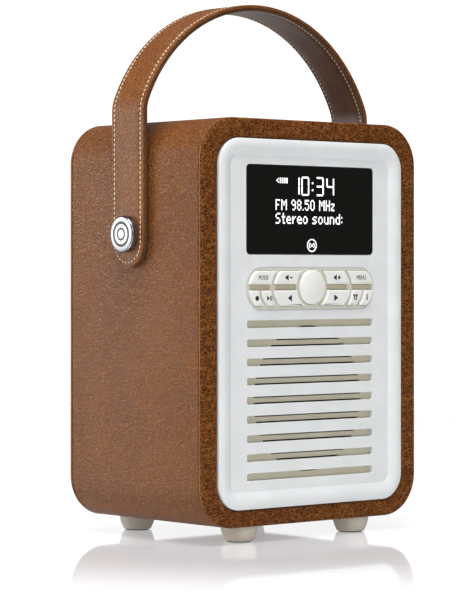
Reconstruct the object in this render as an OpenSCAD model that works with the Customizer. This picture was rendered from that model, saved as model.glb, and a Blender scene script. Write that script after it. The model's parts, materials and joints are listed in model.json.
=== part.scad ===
// Leather portable radio: a moulded case wrapped in leather, with a white front
// fascia, a strap handle on two side pivots and a rear panel with an antenna.
// +Z is up, -Y is the front, and the origin is on the table under the middle.

/* [Body] */
// Width over the leather
body_w = 126; // [110:1:160]
// Depth over the leather, front border to back border
body_d = 90; // [80:1:120]
// Height of the body without its feet
body_h = 173; // [160:1:210]
// Radius of the four long corners
body_r = 18; // [14:0.5:22]
// Thickness of the leather sleeve
leather_t = 1.4; // [1:0.1:2]
// Thickness of the padded front and back borders
border_t = 2.4; // [2:0.1:3.5]
// Wall of the moulded case
case_t = 4; // [3:0.1:5]

/* [Fascia] */
// Width of the leather border beside the fascia
border_side = 9.3; // [7:0.1:9.4]
// Height of the leather border above the fascia
border_top = 8.6; // [7.5:0.1:9.4]
// Height of the leather border below the fascia
border_bottom = 7.4; // [7.2:0.1:9.4]
// Corner radius of the fascia
fascia_r = 11.5; // [10:0.1:12]
// Width of the raised rim
rim_w = 7.4; // [6:0.1:8]
// How far the rim stands in front of the leather border
rim_proud = 0.8; // [0.4:0.1:1]
// How far the flat panel lies behind the crown of the rim
panel_sink = 1.6; // [1:0.1:2.4]
// Thickness of the flat panel
panel_t = 2.2; // [1.8:0.1:2.6]

/* [Display] */
// Width of the glossy window
window_w = 74.6; // [60:0.1:80]
// Height of the glossy window
window_h = 38.1; // [30:0.1:42]
// Distance from the top of the fascia to the middle of the window
window_down = 30; // [27:0.1:34]

/* [Keypad] */
// Length of the stadium that outlines the keys
keypad_w = 74.5; // [70:0.5:78]
// Height of the stadium
keypad_h = 17.5; // [17.3:0.1:20]
// Distance from the top of the fascia to the middle of the keypad
keypad_down = 63.7; // [61:0.1:66]
// Width of the web between two keys with its two gaps
key_gap = 1.4; // [1.3:0.05:1.6]
// Travel of a key
key_travel = 1; // [0.6:0.1:1.2]
// Diameter of the round select key
select_d = 15; // [13:0.1:15.2]
// Width of the web round the round key with its two gaps
select_gap = 1.7; // [1.4:0.1:2.2]
// How far a key stands in front of the panel
key_proud = 1.2; // [0.6:0.1:1.6]
// How far the round key stands in front of the panel
select_proud = 2.2; // [1:0.1:2.2]
// Depth of the recesses between the two rows of keys
well_depth = 0.8; // [0.4:0.1:1.2]

/* [Grille] */
// Number of slots
slot_count = 9; // [5:1:9]
// Height of one slot
slot_h = 3.2; // [2.4:0.1:4]
// Length of one slot
slot_w = 74; // [60:0.5:80]
// Distance from the keypad down to the middle of the highest slot
slot_under_keys = 6.25; // [5:0.05:9]
// Height from the bottom of the fascia to the lowest slot
slot_up = 13.5; // [12:0.1:15]
// From the middle of the highest slot to the edge of the round sound opening
sound_margin = 0.9; // [0.4:0.1:6]
// Height of the cream bar behind each slot
bar_h = 2; // [1.6:0.1:2.4]

/* [Feet] */
// Height of a foot
foot_h = 7; // [5:0.5:12]
// Diameter of a foot where it meets the body
foot_top_d = 15.8; // [14:0.1:18]
// Diameter of a foot at the table
foot_low_d = 12.4; // [11:0.1:14]
// Distance from the middle of a foot to the side of the body
foot_side = 30.1; // [26:0.1:36]
// Distance from the middle of a foot to the front or the back of the body
foot_end = 10.7; // [10.4:0.1:14]

/* [Handle] */
// Width of the strap
strap_w = 21.5; // [18:0.5:26]
// Thickness of the outer leather of the strap
strap_t = 1.7; // [1.4:0.1:2]
// Thickness of the smooth lining
lining_t = 1.1; // [0.8:0.1:1.4]
// Gap between the strap and the side of the body
strap_gap = 0.7; // [0.7:0.1:1.5]
// Height of the top of the strap above the body
strap_rise = 52.7; // [45:0.1:70]
// How much wider the arch's circle is than the legs, on each side
arch_over = 4.5; // [3.5:0.1:9]
// Radius of the shoulders, over the outer face
shoulder_r = 15; // [10:0.5:20]
// Depth of the pivots below the top of the body
pivot_drop = 49; // [40:0.5:60]
// Distance from a pivot to the rounded end of the strap
strap_tail = 14.2; // [12:0.1:18]
// Diameter of the strap studs
stud_d = 15.5; // [14:0.1:18]
// Height of the strap studs
stud_h = 3.4; // [2.4:0.1:4.4]
// Diameter of the pivot posts
pivot_d = 8; // [6:0.1:9]

/* [Speaker] */
// Outer radius of the speaker frame
speaker_r = 38; // [36:0.5:42]
// Depth of the speaker behind the baffle
speaker_depth = 34; // [28:1:40]
// Radius of the speaker magnet
magnet_r = 22; // [18:0.5:26]

/* [Rear] */
// How far the rear cover lies behind the back border's face
rear_sink = 1.6; // [1:0.1:2.4]
// Thickness of the rear cover
rear_t = 3; // [2.4:0.1:4]
// Width of the battery door
door_w = 66; // [50:1:70]
// Height of the battery door
door_h = 38; // [30:1:44]
// Radius of the headphone and line sockets' bores
jack_r = 1.8; // [1.75:0.01:1.9]
// Depth of those bores
jack_depth = 14; // [12:0.5:16]
// Radius of the power inlet's bore
inlet_r = 2.8; // [2.6:0.1:3.4]

/* [Antenna] */
// Radius of the outer tube
antenna_r = 2.4; // [2.2:0.1:3]
// Length of the folded antenna from its pivot
antenna_len = 58; // [50:1:62]
// Travel of each of the two sliding sections
antenna_pull = 33; // [20:1:34]

/* [Hidden] */
$fn = 64;

// Clearances
loose = 0.3;        // between pieces that move past each other
running = 0.05;     // radial, a shaft in its bore
seat = 0.2;         // round a piece that drops into an opening
lap = 0.5;          // overlap of shapes joined in one solid
past = 1;           // how far a cut runs past a face

// Body
front_y = -body_d / 2;
back_y = body_d / 2;
low_z = foot_h;
top_z = foot_h + body_h;
mid_z = (low_z + top_z) / 2;
shell_front_y = front_y + border_t;
shell_back_y = back_y - border_t;
case_w = body_w - 2 * leather_t;
case_h = body_h - 2 * leather_t;
case_r = body_r - leather_t;
room_w = case_w - 2 * case_t;
room_h = case_h - 2 * case_t;
room_r = case_r - case_t;
flange_t = 3;
border_reach = 12;       // how far a border's section runs inward before it is cut
foot_x = body_w / 2 - foot_side;
foot_y = body_d / 2 - foot_end;

// Fascia
fascia_w = body_w - 2 * border_side;
fascia_h = body_h - border_top - border_bottom;
fascia_low = low_z + border_bottom;
fascia_high = top_z - border_top;
fascia_mid = fascia_low + fascia_h / 2;
rim_y = front_y - rim_proud;
panel_y = rim_y + panel_sink;
panel_back = panel_y + panel_t;
skirt_back = panel_back + 2;
skirt_t = 2;
crown_steps = 8;
crown_from = 43;         // angle at which the crown starts at the outer edge

// Display
window_z = fascia_high - window_down;
window_r = 2;
window_sink = 0.3;
window_lip = 2.6;
lip_t = 1;
module_t = 4;

// Keypad
keypad_z = fascia_high - keypad_down;
keypad_r = keypad_h / 2;
groove_w = 0.5;
groove_depth = 0.7;
upper_low = 1.8;         // rows are measured from the middle of the keypad
upper_high = 7.7;
lower_low = -7.4;
lower_high = -0.7;
select_up = 0.6;
key_hem = 0.5;
key_hem_t = 0.8;
key_margin = 0.6;
mode_share = 14.1;       // length of the outer part of a row, mode or menu
small_share = 6.9;       // length of the outermost lower key
well_outer = 0.8;        // from a row's end to the outer recess
well_before = 1.7;       // from the outer recess to the next key's side
well_after = 1.5;        // from that side to the inner recess
well_round = 1.6;        // from the inner recess to the round key
board_room = 2.5;        // round the window and the keypad in the baffle's opening
board_low = keypad_z - keypad_h / 2 - board_room;
board_high = window_z + window_h / 2 + board_room;
key_seat = 0.4;          // gap behind the panel before a key's hem
mat_t = 1;
board_t = 1.4;
hem_front = panel_back + key_seat;
hem_back = hem_front + key_hem_t;
mat_y = hem_back + key_travel + key_seat;
key_board_y = mat_y + mat_t;

// Grille
slot_r = 0.8;
slot_z0 = fascia_low + slot_up;
slot_z1 = keypad_z - keypad_h / 2 - slot_under_keys;
slot_pitch = (slot_z1 - slot_z0) / (slot_count - 1);
sound_z = (slot_z0 + slot_z1) / 2;
sound_r = (slot_z1 - slot_z0) / 2 - sound_margin;
insert_t = 1.8;
insert_w = slot_w + 8;
insert_low = slot_z0 - slot_h / 2 - 3;
insert_high = slot_z1 + slot_h / 2 + 2.6;
cloth_t = 0.6;
cloth_margin = 2.5;

// Baffle and speaker
baffle_y = key_board_y + board_t + 0.4;
baffle_t = 3;
baffle_back = baffle_y + baffle_t;
gasket_t = 1;
speaker_y = baffle_back + gasket_t;
speaker_lip = 2;
speaker_bore = 30;
basket_r = 31.4;
cone_r = 27;
cone_depth = 14;
cone_t = 0.8;
cap_r = 9;
surround_r = 3;
magnet_t = 14;
speaker_bolt_r = 35;
screw_r = 1.5;
speaker_bolts = 4;
speaker_z = max(sound_z, low_z + leather_t + case_t + speaker_r + loose);

// Boards and battery
main_board_y = 6;
main_board_w = 96;
main_board_h = 64;
main_board_z = top_z - 57;
main_post_r = 3;
main_post_in = 5;        // from the board's edges to its posts
chip_w = 30;
chip_h = 24;
chip_t = 8;
battery_w = 58;
battery_h = 30;
battery_t = 22;

// Rear
rear_face = back_y - rear_sink;
rear_inner = rear_face - rear_t;
rear_w = fascia_w - 2 * seat;
rear_h = fascia_h - 2 * seat;
ledge = 7;
door_t = 2;
door_x = -12;
door_z = low_z + 38;
door_r = 3;
door_grip_r = 5;
door_grip_depth = 0.8;
door_rebate = 2.5;       // width of the ledge that the door rests on
jack_row = low_z + 72;
jack_x = [-36, -18, 0];
jack_body_r = 5;
collar_r = 4;
collar_proud = 0.4;
jack_floor = 2;
button_x = 20;
button_r = 6;
button_proud = 2.4;
vent_count = 5;
vent_w = 50;
vent_h = 2.4;
vent_pitch = 6;
vent_z = low_z + 100;
rear_bolt_r = 1.6;
rear_bolt_side = 4.2;    // from the cover's side edge
rear_bolt_end = 14;      // from the cover's top or bottom edge

// Antenna
antenna_x = 36;
antenna_z = top_z - 24;
antenna_wall = 0.5;
middle_r = antenna_r - antenna_wall - running;
inner_r = middle_r - antenna_wall - running;
trough_half = antenna_r + 1.4;
trough_depth = 2 * antenna_r + 1.2;
trough_wall = 1.6;
trough_low = max(antenna_z - antenna_len - 2 * antenna_pull - 5,
    fascia_low + ledge + trough_wall + past);
antenna_y = rear_face - antenna_r + 0.4;
knuckle_half = 1.5;
lug_t = 1.6;
pin_r = 0.9;
lug_up = 2.5;
lug_down = 3;
tube_step = 2.5;         // each tube ends this much lower than the one outside it
neck = antenna_r + 1.8;
trough_high = antenna_z + antenna_r + 4;
tip_len = 3;

// Feet
foot_screw_r = 1.6;
foot_head_r = 3.2;
pad_t = 1.2;
pad_proud = 0.4;
pad_r = foot_low_d / 2 - 1;
foot_head_t = 1.8;
foot_screw_len = foot_h + leather_t + case_t - 2.2;
foot_hole_top = foot_h + 12;

// Handle
strap_x = body_w / 2 + strap_gap + lining_t + strap_t;
arch_top = top_z + strap_rise;
arch_r = strap_x + arch_over;
arch_z = arch_top - arch_r;
shoulder_angle = acos((strap_x - shoulder_r) / (arch_r - shoulder_r));
shoulder_x = strap_x - shoulder_r;
shoulder_z = arch_z + (arch_r - shoulder_r) * sin(shoulder_angle);
pivot_z = top_z - pivot_drop;
strap_end_z = pivot_z - strap_tail + strap_w / 2;
washer_t = strap_gap - loose;
washer_r = 8;
nut_r = 7;
nut_t = 3;
post_in = 4;
stud_round = 0.9;
ring_w = 0.7;
ring_depth = 0.5;

// ---- shared shapes ----------------------------------------------------------

// A flat outline in X and Z, made solid from y0 back to y1.
module slab(y0, y1) {
    translate([0, y1, 0])
        rotate([90, 0, 0])
            linear_extrude(y1 - y0)
                children();
}

// A flat outline in Y and Z, made solid from x0 to x1.
module plank(x0, x1) {
    translate([x0, 0, 0])
        rotate([90, 0, 90])
            linear_extrude(x1 - x0)
                children();
}

// A rectangle with round corners about the point (x, z).
module round_box(w, h, r, z = 0, x = 0) {
    translate([x, z]) {
        square([w - 2 * r, h], center = true);
        square([w, h - 2 * r], center = true);
        for (sx = [-1, 1], sz = [-1, 1])
            translate([sx * (w / 2 - r), sz * (h / 2 - r)])
                circle(r);
    }
}

// A section swept round a rounded rectangle that faces forward: in the
// section, x runs inward from the outer edge and y runs to the front.
module swept_ring(w, h, r) {
    for (turn = [0:3]) {
        across = turn % 2 == 0 ? w : h;
        along = turn % 2 == 0 ? h : w;
        rotate([0, 0, 90 * turn]) {
            rotate([90, 0, 0])
                linear_extrude(along - 2 * r, center = true)
                    translate([across / 2, 0])
                        mirror([1, 0])
                            children();
            translate([across / 2 - r, along / 2 - r, 0])
                rotate_extrude(angle = 90)
                    translate([r, 0])
                        mirror([1, 0])
                            children();
        }
    }
}

// A round bar along Y, from y0 back to y1.
module y_bar(r, y0, y1, x = 0, z = 0) {
    translate([x, y1, z])
        rotate([90, 0, 0])
            cylinder(r = r, h = y1 - y0);
}

// A round bar along X, from x0 to x1.
module x_bar(r, x0, x1, y = 0, z = 0) {
    translate([x0, y, z])
        rotate([0, 90, 0])
            cylinder(r = r, h = x1 - x0);
}

// Children at the middle of each foot.
module at_feet() {
    for (sx = [-1, 1], sy = [-1, 1])
        translate([sx * foot_x, sy * foot_y, 0])
            children();
}

// ---- body --------------------------------------------------------------------

module case_hole_for_pivot() {
    x_bar(pivot_d / 2 + running, -body_w, body_w, 0, pivot_z);
}

module cabinet() {
    color("dimgray")
        difference() {
            slab(shell_front_y, shell_back_y)
                round_box(case_w, case_h, case_r, mid_z);
            // the room in front of the baffle, and the room behind it
            slab(shell_front_y + flange_t, baffle_y)
                round_box(room_w, room_h, room_r, mid_z);
            slab(baffle_back, rear_inner - flange_t)
                round_box(room_w, room_h, room_r, mid_z);
            // the front and back openings
            slab(front_y - past, shell_front_y + flange_t + past)
                round_box(fascia_w + 2 * seat, fascia_h + 2 * seat, fascia_r + seat, fascia_mid);
            slab(rear_inner - flange_t - past, rear_inner)
                round_box(fascia_w - 2 * ledge, fascia_h - 2 * ledge, fascia_r - ledge, fascia_mid);
            slab(rear_inner, back_y)
                round_box(fascia_w, fascia_h, fascia_r, fascia_mid);
            // through the baffle: sound, and the display and key boards
            y_bar(speaker_bore, front_y, baffle_back + past, 0, speaker_z);
            slab(front_y, baffle_back + past)
                round_box(window_w + 2 * board_room, board_high - board_low, window_r,
                    (board_high + board_low) / 2);
            speaker_bolt_holes()
                y_bar(screw_r, baffle_y - past, baffle_back + past);
            rear_screw_places()
                y_bar(rear_bolt_r, rear_inner - flange_t - past, rear_inner + past);
            case_hole_for_pivot();
            at_feet()
                cylinder(r = foot_screw_r, h = foot_hole_top);
        }
}

module leather_sleeve() {
    color("saddlebrown")
        difference() {
            slab(shell_front_y, shell_back_y)
                round_box(body_w, body_h, body_r, mid_z);
            slab(shell_front_y - past, shell_back_y + past)
                round_box(case_w, case_h, case_r, mid_z);
            case_hole_for_pivot();
            at_feet()
                cylinder(r = foot_screw_r, h = foot_hole_top);
        }
}

// Section of a padded border: flat at the back, rounded at its outer front edge.
module border_section() {
    steps = 6;
    points = [
        for (i = [0:steps])
            [border_t * (1 - cos(90 * i / steps)), border_t * sin(90 * i / steps)]
    ];
    polygon(concat(points, [[border_reach, border_t], [border_reach, 0]]));
}

module leather_border() {
    difference() {
        rotate([90, 0, 0])
            translate([0, mid_z, 0])
                swept_ring(body_w, body_h, body_r)
                    border_section();
        slab(-border_t - past, past)
            round_box(fascia_w + 2 * seat, fascia_h + 2 * seat, fascia_r + seat, fascia_mid);
    }
}

module leather_front() {
    color("sienna")
        translate([0, shell_front_y, 0])
            leather_border();
}

module leather_back() {
    color("sienna")
        translate([0, shell_back_y, 0])
            mirror([0, 1, 0])
                leather_border();
}

module foot() {
    color("gainsboro")
        difference() {
            rotate_extrude()
                polygon([
                    [0, pad_proud],
                    [foot_low_d / 2 - 0.6, pad_proud],
                    [foot_low_d / 2, pad_proud + 0.6],
                    [foot_top_d / 2, foot_h - 0.8],
                    [foot_top_d / 2, foot_h],
                    [0, foot_h]
                ]);
            translate([0, 0, -past])
                cylinder(r = foot_screw_r, h = foot_h + 2 * past);
            translate([0, 0, -past])
                cylinder(r = pad_r, h = past + pad_t);
            cylinder(r = foot_head_r, h = pad_t + foot_head_t);
        }
}

module foot_at(sx, sy) {
    translate([sx * foot_x, sy * foot_y, 0])
        foot();
}

module foot_front_left() { foot_at(-1, -1); }
module foot_front_right() { foot_at(1, -1); }
module foot_back_left() { foot_at(-1, 1); }
module foot_back_right() { foot_at(1, 1); }

module foot_pads() {
    color("dimgray")
        at_feet()
            cylinder(r = pad_r, h = pad_t);
}

module foot_screws() {
    color("silver")
        at_feet()
            translate([0, 0, pad_t]) {
                cylinder(r = foot_head_r, h = foot_head_t);
                cylinder(r = foot_screw_r, h = foot_screw_len);
            }
}

// ---- front -------------------------------------------------------------------

// Section of the fascia's rim: a shallow crown with a skirt behind its edge.
module rim_section() {
    crown = [
        for (i = [0:crown_steps])
            [rim_w * i / crown_steps,
             panel_sink * (sin(crown_from + (180 - crown_from) * i / crown_steps) - 1)]
    ];
    polygon(concat([[0, rim_y - skirt_back]], crown, [
        [rim_w, rim_y - panel_back],
        [skirt_t, rim_y - panel_back],
        [skirt_t, rim_y - skirt_back]
    ]));
}

// The side of a key that bulges outward, with its furthest point at x.
module bulge(x, grow = 0) {
    translate([x + keypad_r, 0])
        circle(keypad_r + grow);
    translate([x + keypad_r, -keypad_r - grow])
        square([keypad_w, keypad_h + 2 * grow]);
}

// Outline of a left-hand key about the middle of the keypad. It reaches to the
// next key's side, one gap away, or to the round key where next is 0.
module key_outline(low, high, from, next, grow = 0) {
    difference() {
        intersection() {
            translate([-keypad_w, low - grow])
                square([keypad_w, high - low + 2 * grow]);
            bulge(from, grow);
        }
        if (next < 0)
            bulge(next, key_gap - grow);
        translate([0, select_up])
            circle(select_d / 2 + select_gap - grow);
    }
}

outer_from = -keypad_w / 2 + key_margin;
inner_from = outer_from + mode_share;
small_from = outer_from + small_share;

module mode_outline(grow = 0) {
    key_outline(upper_low, upper_high, outer_from, inner_from, grow);
}
module volume_outline(grow = 0) {
    key_outline(upper_low, upper_high, inner_from, 0, grow);
}
module preset_outline(grow = 0) {
    key_outline(lower_low, lower_high, outer_from, small_from, grow);
}
module play_outline(grow = 0) {
    key_outline(lower_low, lower_high, small_from, inner_from, grow);
}
module skip_outline(grow = 0) {
    key_outline(lower_low, lower_high, inner_from, 0, grow);
}
module select_outline(grow = 0) {
    translate([0, select_up])
        circle(select_d / 2 + grow);
}

// Every key's outline, grown by its clearance.
module key_holes() {
    for (side = [0, 1])
        mirror([side, 0]) {
            mode_outline(loose);
            volume_outline(loose);
            preset_outline(loose);
            play_outline(loose);
            skip_outline(loose);
        }
    select_outline(loose);
}

// The recesses between the two rows, open to the keys above and below.
module row_wells() {
    spans = [
        [outer_from + well_outer, inner_from - well_before],
        [inner_from + well_after, -select_d / 2 - well_round]
    ];
    for (side = [0, 1], span = spans)
        mirror([side, 0])
            translate([span[0], lower_high])
                square([span[1] - span[0], upper_low - lower_high]);
}

module stadium(grow = 0) {
    round_box(keypad_w + 2 * grow, keypad_h + 2 * grow, keypad_r + grow - 0.01);
}

module fascia() {
    color("whitesmoke")
        difference() {
            union() {
                translate([0, rim_y, fascia_mid])
                    rotate([90, 0, 0])
                        swept_ring(fascia_w, fascia_h, fascia_r)
                            rim_section();
                slab(panel_y, panel_back)
                    round_box(fascia_w - 2 * rim_w + 2 * lap, fascia_h - 2 * rim_w + 2 * lap,
                        fascia_r - rim_w + lap, fascia_mid);
            }
            slab(front_y - past, panel_back + past)
                round_box(window_w + 2 * seat, window_h + 2 * seat, window_r, window_z);
            slab(rim_y - past, panel_back + past)
                translate([0, keypad_z])
                    key_holes();
            slab(rim_y - past, panel_y + well_depth)
                translate([0, keypad_z])
                    row_wells();
            slab(rim_y - past, panel_y + groove_depth)
                translate([0, keypad_z])
                    difference() {
                        stadium(groove_w);
                        stadium(0);
                    }
            slab(front_y - past, panel_back + past)
                for (i = [0:slot_count - 1])
                    round_box(slot_w, slot_h, slot_r, slot_z0 + i * slot_pitch);
        }
}

module grille_insert() {
    color("cornsilk")
        slab(panel_back, panel_back + insert_t)
            difference() {
                round_box(insert_w, insert_high - insert_low, 3, (insert_high + insert_low) / 2);
                intersection() {
                    translate([0, sound_z])
                        circle(sound_r);
                    for (i = [-1:slot_count - 1])
                        translate([-insert_w / 2, slot_z0 + i * slot_pitch + bar_h / 2])
                            square([insert_w, slot_pitch - bar_h]);
                }
            }
}

module grille_cloth() {
    color("black")
        y_bar(sound_r + cloth_margin, panel_back + insert_t,
            panel_back + insert_t + cloth_t, 0, sound_z);
}

module display_window() {
    color("black") {
        slab(panel_y + window_sink, panel_back)
            round_box(window_w, window_h, window_r, window_z);
        slab(panel_back, panel_back + lip_t)
            round_box(window_w + window_lip, window_h + window_lip, window_r, window_z);
    }
}

module display_module() {
    color("darkslategray")
        slab(panel_back + lip_t, panel_back + lip_t + module_t)
            round_box(window_w, window_h, 1, window_z);
}

module keypad_mat() {
    color("tan")
        slab(mat_y, mat_y + mat_t)
            round_box(keypad_w, keypad_h, 2, keypad_z);
}

module keypad_board() {
    color("darkgreen")
        slab(key_board_y, key_board_y + board_t)
            round_box(keypad_w, keypad_h, 1, keypad_z);
}

// A key: its outline in front, and a hem behind the panel that holds it in.
module key(side = 0, proud = key_proud) {
    color("ivory")
        translate([0, 0, keypad_z])
            mirror([side, 0, 0]) {
                slab(panel_y - proud, hem_front)
                    children(0);
                slab(hem_front, hem_back)
                    children(1);
            }
}

module key_mode() { key(0) { mode_outline(); mode_outline(key_hem); } }
module key_volume_down() { key(0) { volume_outline(); volume_outline(key_hem); } }
module key_volume_up() { key(1) { volume_outline(); volume_outline(key_hem); } }
module key_menu() { key(1) { mode_outline(); mode_outline(key_hem); } }
module key_preset() { key(0) { preset_outline(); preset_outline(key_hem); } }
module key_play() { key(0) { play_outline(); play_outline(key_hem); } }
module key_previous() { key(0) { skip_outline(); skip_outline(key_hem); } }
module key_next() { key(1) { skip_outline(); skip_outline(key_hem); } }
module key_alarm() { key(1) { play_outline(); play_outline(key_hem); } }
module key_info() { key(1) { preset_outline(); preset_outline(key_hem); } }
module select_button() {
    key(0, select_proud) {
        select_outline();
        select_outline(key_hem);
    }
}

// ---- inside ------------------------------------------------------------------

// A solid of revolution about the speaker's axis, with its section's y going back.
module speaker_turned() {
    translate([0, speaker_y, speaker_z])
        rotate([-90, 0, 0])
            rotate_extrude()
                children();
}

module speaker_bolt_holes() {
    translate([0, 0, speaker_z])
        for (turn = [0:speaker_bolts - 1])
            rotate([0, 45 + 90 * turn, 0])
                translate([speaker_bolt_r, 0, 0])
                    children();
}

module speaker_gasket() {
    color("black")
        difference() {
            y_bar(speaker_r, baffle_back, speaker_y, 0, speaker_z);
            y_bar(speaker_bore, baffle_back - past, speaker_y + past, 0, speaker_z);
            speaker_bolt_holes()
                y_bar(screw_r, baffle_back - past, speaker_y + past);
        }
}

module speaker_frame() {
    color("dimgray")
        difference() {
            speaker_turned()
                polygon([
                    [cone_r + surround_r, 0], [speaker_r, 0], [speaker_r, speaker_lip],
                    [basket_r, speaker_lip], [magnet_r, speaker_depth - magnet_t],
                    [cap_r, speaker_depth - magnet_t],
                    [cap_r, speaker_depth - magnet_t - 2],
                    [magnet_r - 1, speaker_depth - magnet_t - 2],
                    [cone_r + surround_r, speaker_lip]
                ]);
            speaker_bolt_holes()
                y_bar(screw_r, speaker_y - past, speaker_y + speaker_lip + past);
        }
}

module speaker_surround() {
    color("black")
        speaker_turned()
            difference() {
                translate([cone_r + surround_r / 2, 0.6])
                    square([surround_r, 1.2], center = true);
                translate([cone_r + surround_r / 2, 1.2])
                    circle(0.7);
            }
}

module speaker_cone() {
    color("gray")
        speaker_turned()
            polygon([
                [cone_r, 0.2], [cone_r, 0.2 + cone_t],
                [cap_r, cone_depth + cone_t], [cap_r, cone_depth]
            ]);
}

module speaker_dust_cap() {
    color("black")
        speaker_turned()
            polygon([
                [0, cone_depth - 3], [5, cone_depth - 2.2], [cap_r, cone_depth],
                [cap_r, cone_depth + cone_t], [0, cone_depth + cone_t]
            ]);
}

module speaker_magnet() {
    color("silver")
        y_bar(magnet_r, speaker_y + speaker_depth - magnet_t, speaker_y + speaker_depth, 0, speaker_z);
}

module speaker_screws() {
    color("silver")
        speaker_bolt_holes() {
            y_bar(screw_r, baffle_y, speaker_y + speaker_lip);
            y_bar(2 * screw_r, speaker_y + speaker_lip, speaker_y + speaker_lip + 1.6);
        }
}

module main_board() {
    color("darkgreen") {
        slab(main_board_y, main_board_y + board_t)
            round_box(main_board_w, main_board_h, 2, main_board_z);
        for (sx = [-1, 1], sz = [-1, 1])
            y_bar(main_post_r, baffle_back, main_board_y,
                sx * (main_board_w / 2 - main_post_in),
                main_board_z + sz * (main_board_h / 2 - main_post_in));
        slab(main_board_y + board_t, main_board_y + board_t + chip_t)
            round_box(chip_w, chip_h, 1, main_board_z);
    }
}

module battery_pack() {
    color("steelblue")
        slab(rear_inner - battery_t - 1, rear_inner - 1)
            round_box(battery_w, battery_h, 3, door_z, door_x);
}

// ---- rear --------------------------------------------------------------------

module rear_screw_places() {
    for (sx = [-1, 1], sz = [-1, 1])
        translate([sx * (rear_w / 2 - rear_bolt_side), 0,
            fascia_mid + sz * (rear_h / 2 - rear_bolt_end)])
            children();
}

module rear_cover() {
    color("whitesmoke")
        difference() {
            union() {
                slab(rear_inner, rear_face)
                    round_box(rear_w, rear_h, fascia_r - seat, fascia_mid);
                slab(rear_face - trough_depth - trough_wall, rear_face)
                    translate([antenna_x - trough_half - trough_wall, trough_low - trough_wall])
                        square([2 * (trough_half + trough_wall),
                            trough_high - trough_low + 2 * trough_wall]);
            }
            slab(rear_face - trough_depth, rear_face + past)
                translate([antenna_x - trough_half, trough_low])
                    square([2 * trough_half, trough_high - trough_low]);
            slab(rear_face - door_t - loose, rear_face + past)
                round_box(door_w + 2 * loose, door_h + 2 * loose, door_r + loose, door_z, door_x);
            slab(rear_inner - past, rear_face + past)
                round_box(door_w - 2 * door_rebate, door_h - 2 * door_rebate, door_r, door_z, door_x);
            for (x = jack_x)
                y_bar(collar_r + seat, rear_inner - past, rear_face + past, x, jack_row);
            y_bar(button_r + loose, rear_inner - past, rear_face + past, button_x, jack_row);
            slab(rear_inner - past, rear_face + past)
                for (i = [0:vent_count - 1])
                    round_box(vent_w, vent_h, vent_h / 2 - 0.01, vent_z + i * vent_pitch, door_x);
            rear_screw_places()
                y_bar(rear_bolt_r, rear_inner - past, rear_face + past);
        }
}

module rear_screws() {
    color("silver")
        rear_screw_places() {
            y_bar(rear_bolt_r, rear_inner - flange_t, rear_face);
            y_bar(2 * rear_bolt_r, rear_face, rear_face + 1.1);
        }
}

module battery_door() {
    color("whitesmoke")
        difference() {
            slab(rear_face - door_t, rear_face)
                round_box(door_w, door_h, door_r, door_z, door_x);
            y_bar(door_grip_r, rear_face - door_grip_depth, rear_face + past, door_x,
                door_z + door_h / 2 - door_grip_r - door_t);
        }
}

// A socket with a collar in the rear cover and a body behind it.
module socket(x, bore) {
    difference() {
        union() {
            y_bar(collar_r, rear_inner, rear_face + collar_proud, x, jack_row);
            y_bar(jack_body_r, rear_face - jack_depth - jack_floor, rear_inner, x, jack_row);
        }
        y_bar(bore, rear_face + collar_proud - jack_depth, rear_face + past, x, jack_row);
    }
}

module dc_inlet() {
    color("black")
        socket(jack_x[0], inlet_r);
}

module headphone_socket() {
    color("black")
        socket(jack_x[1], jack_r);
}

module line_socket() {
    color("black")
        socket(jack_x[2], jack_r);
}

module power_button() {
    color("dimgray") {
        y_bar(button_r, rear_inner - key_seat, rear_face + button_proud, button_x, jack_row);
        y_bar(button_r + key_hem_t, rear_inner - key_seat - key_hem_t, rear_inner - key_seat,
            button_x, jack_row);
    }
}

module antenna_base() {
    color("dimgray")
        for (side = [-1, 1])
            difference() {
                translate([antenna_x + side * (knuckle_half + loose + lug_t / 2), 0, 0])
                    translate([-lug_t / 2, rear_face - trough_depth, antenna_z - lug_down])
                        cube([lug_t, trough_depth, lug_down + lug_up]);
                x_bar(pin_r, antenna_x - 10, antenna_x + 10, antenna_y, antenna_z);
            }
}

module antenna_pin() {
    reach = knuckle_half + loose + lug_t;
    color("silver")
        x_bar(pin_r, antenna_x - reach, antenna_x + reach, antenna_y, antenna_z);
}

module antenna_tube(r, hole, low, high) {
    translate([antenna_x, antenna_y, low])
        difference() {
            cylinder(r = r, h = high - low);
            translate([0, 0, -past])
                cylinder(r = hole, h = high - low - 2 + past);
        }
}

module antenna_outer() {
    color("silver")
        difference() {
            union() {
                antenna_tube(antenna_r, middle_r + running, antenna_z - antenna_len,
                    antenna_z - neck);
                x_bar(antenna_r, antenna_x - knuckle_half, antenna_x + knuckle_half,
                    antenna_y, antenna_z);
                translate([antenna_x - knuckle_half, antenna_y - knuckle_half,
                    antenna_z - neck - lap])
                    cube([2 * knuckle_half, 2 * knuckle_half, neck]);
            }
            x_bar(pin_r + running, antenna_x - 10, antenna_x + 10, antenna_y, antenna_z);
        }
}

module antenna_middle() {
    color("silver")
        antenna_tube(middle_r, inner_r + running, antenna_z - antenna_len,
            antenna_z - neck - tube_step);
}

module antenna_inner() {
    low = antenna_z - antenna_len - loose;
    color("silver")
        translate([antenna_x, antenna_y, low - tip_len]) {
            cylinder(r = antenna_r, h = tip_len);
            cylinder(r = inner_r, h = tip_len + antenna_len - neck - 2 * tube_step - lap);
        }
}

// ---- handle ------------------------------------------------------------------

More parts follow.
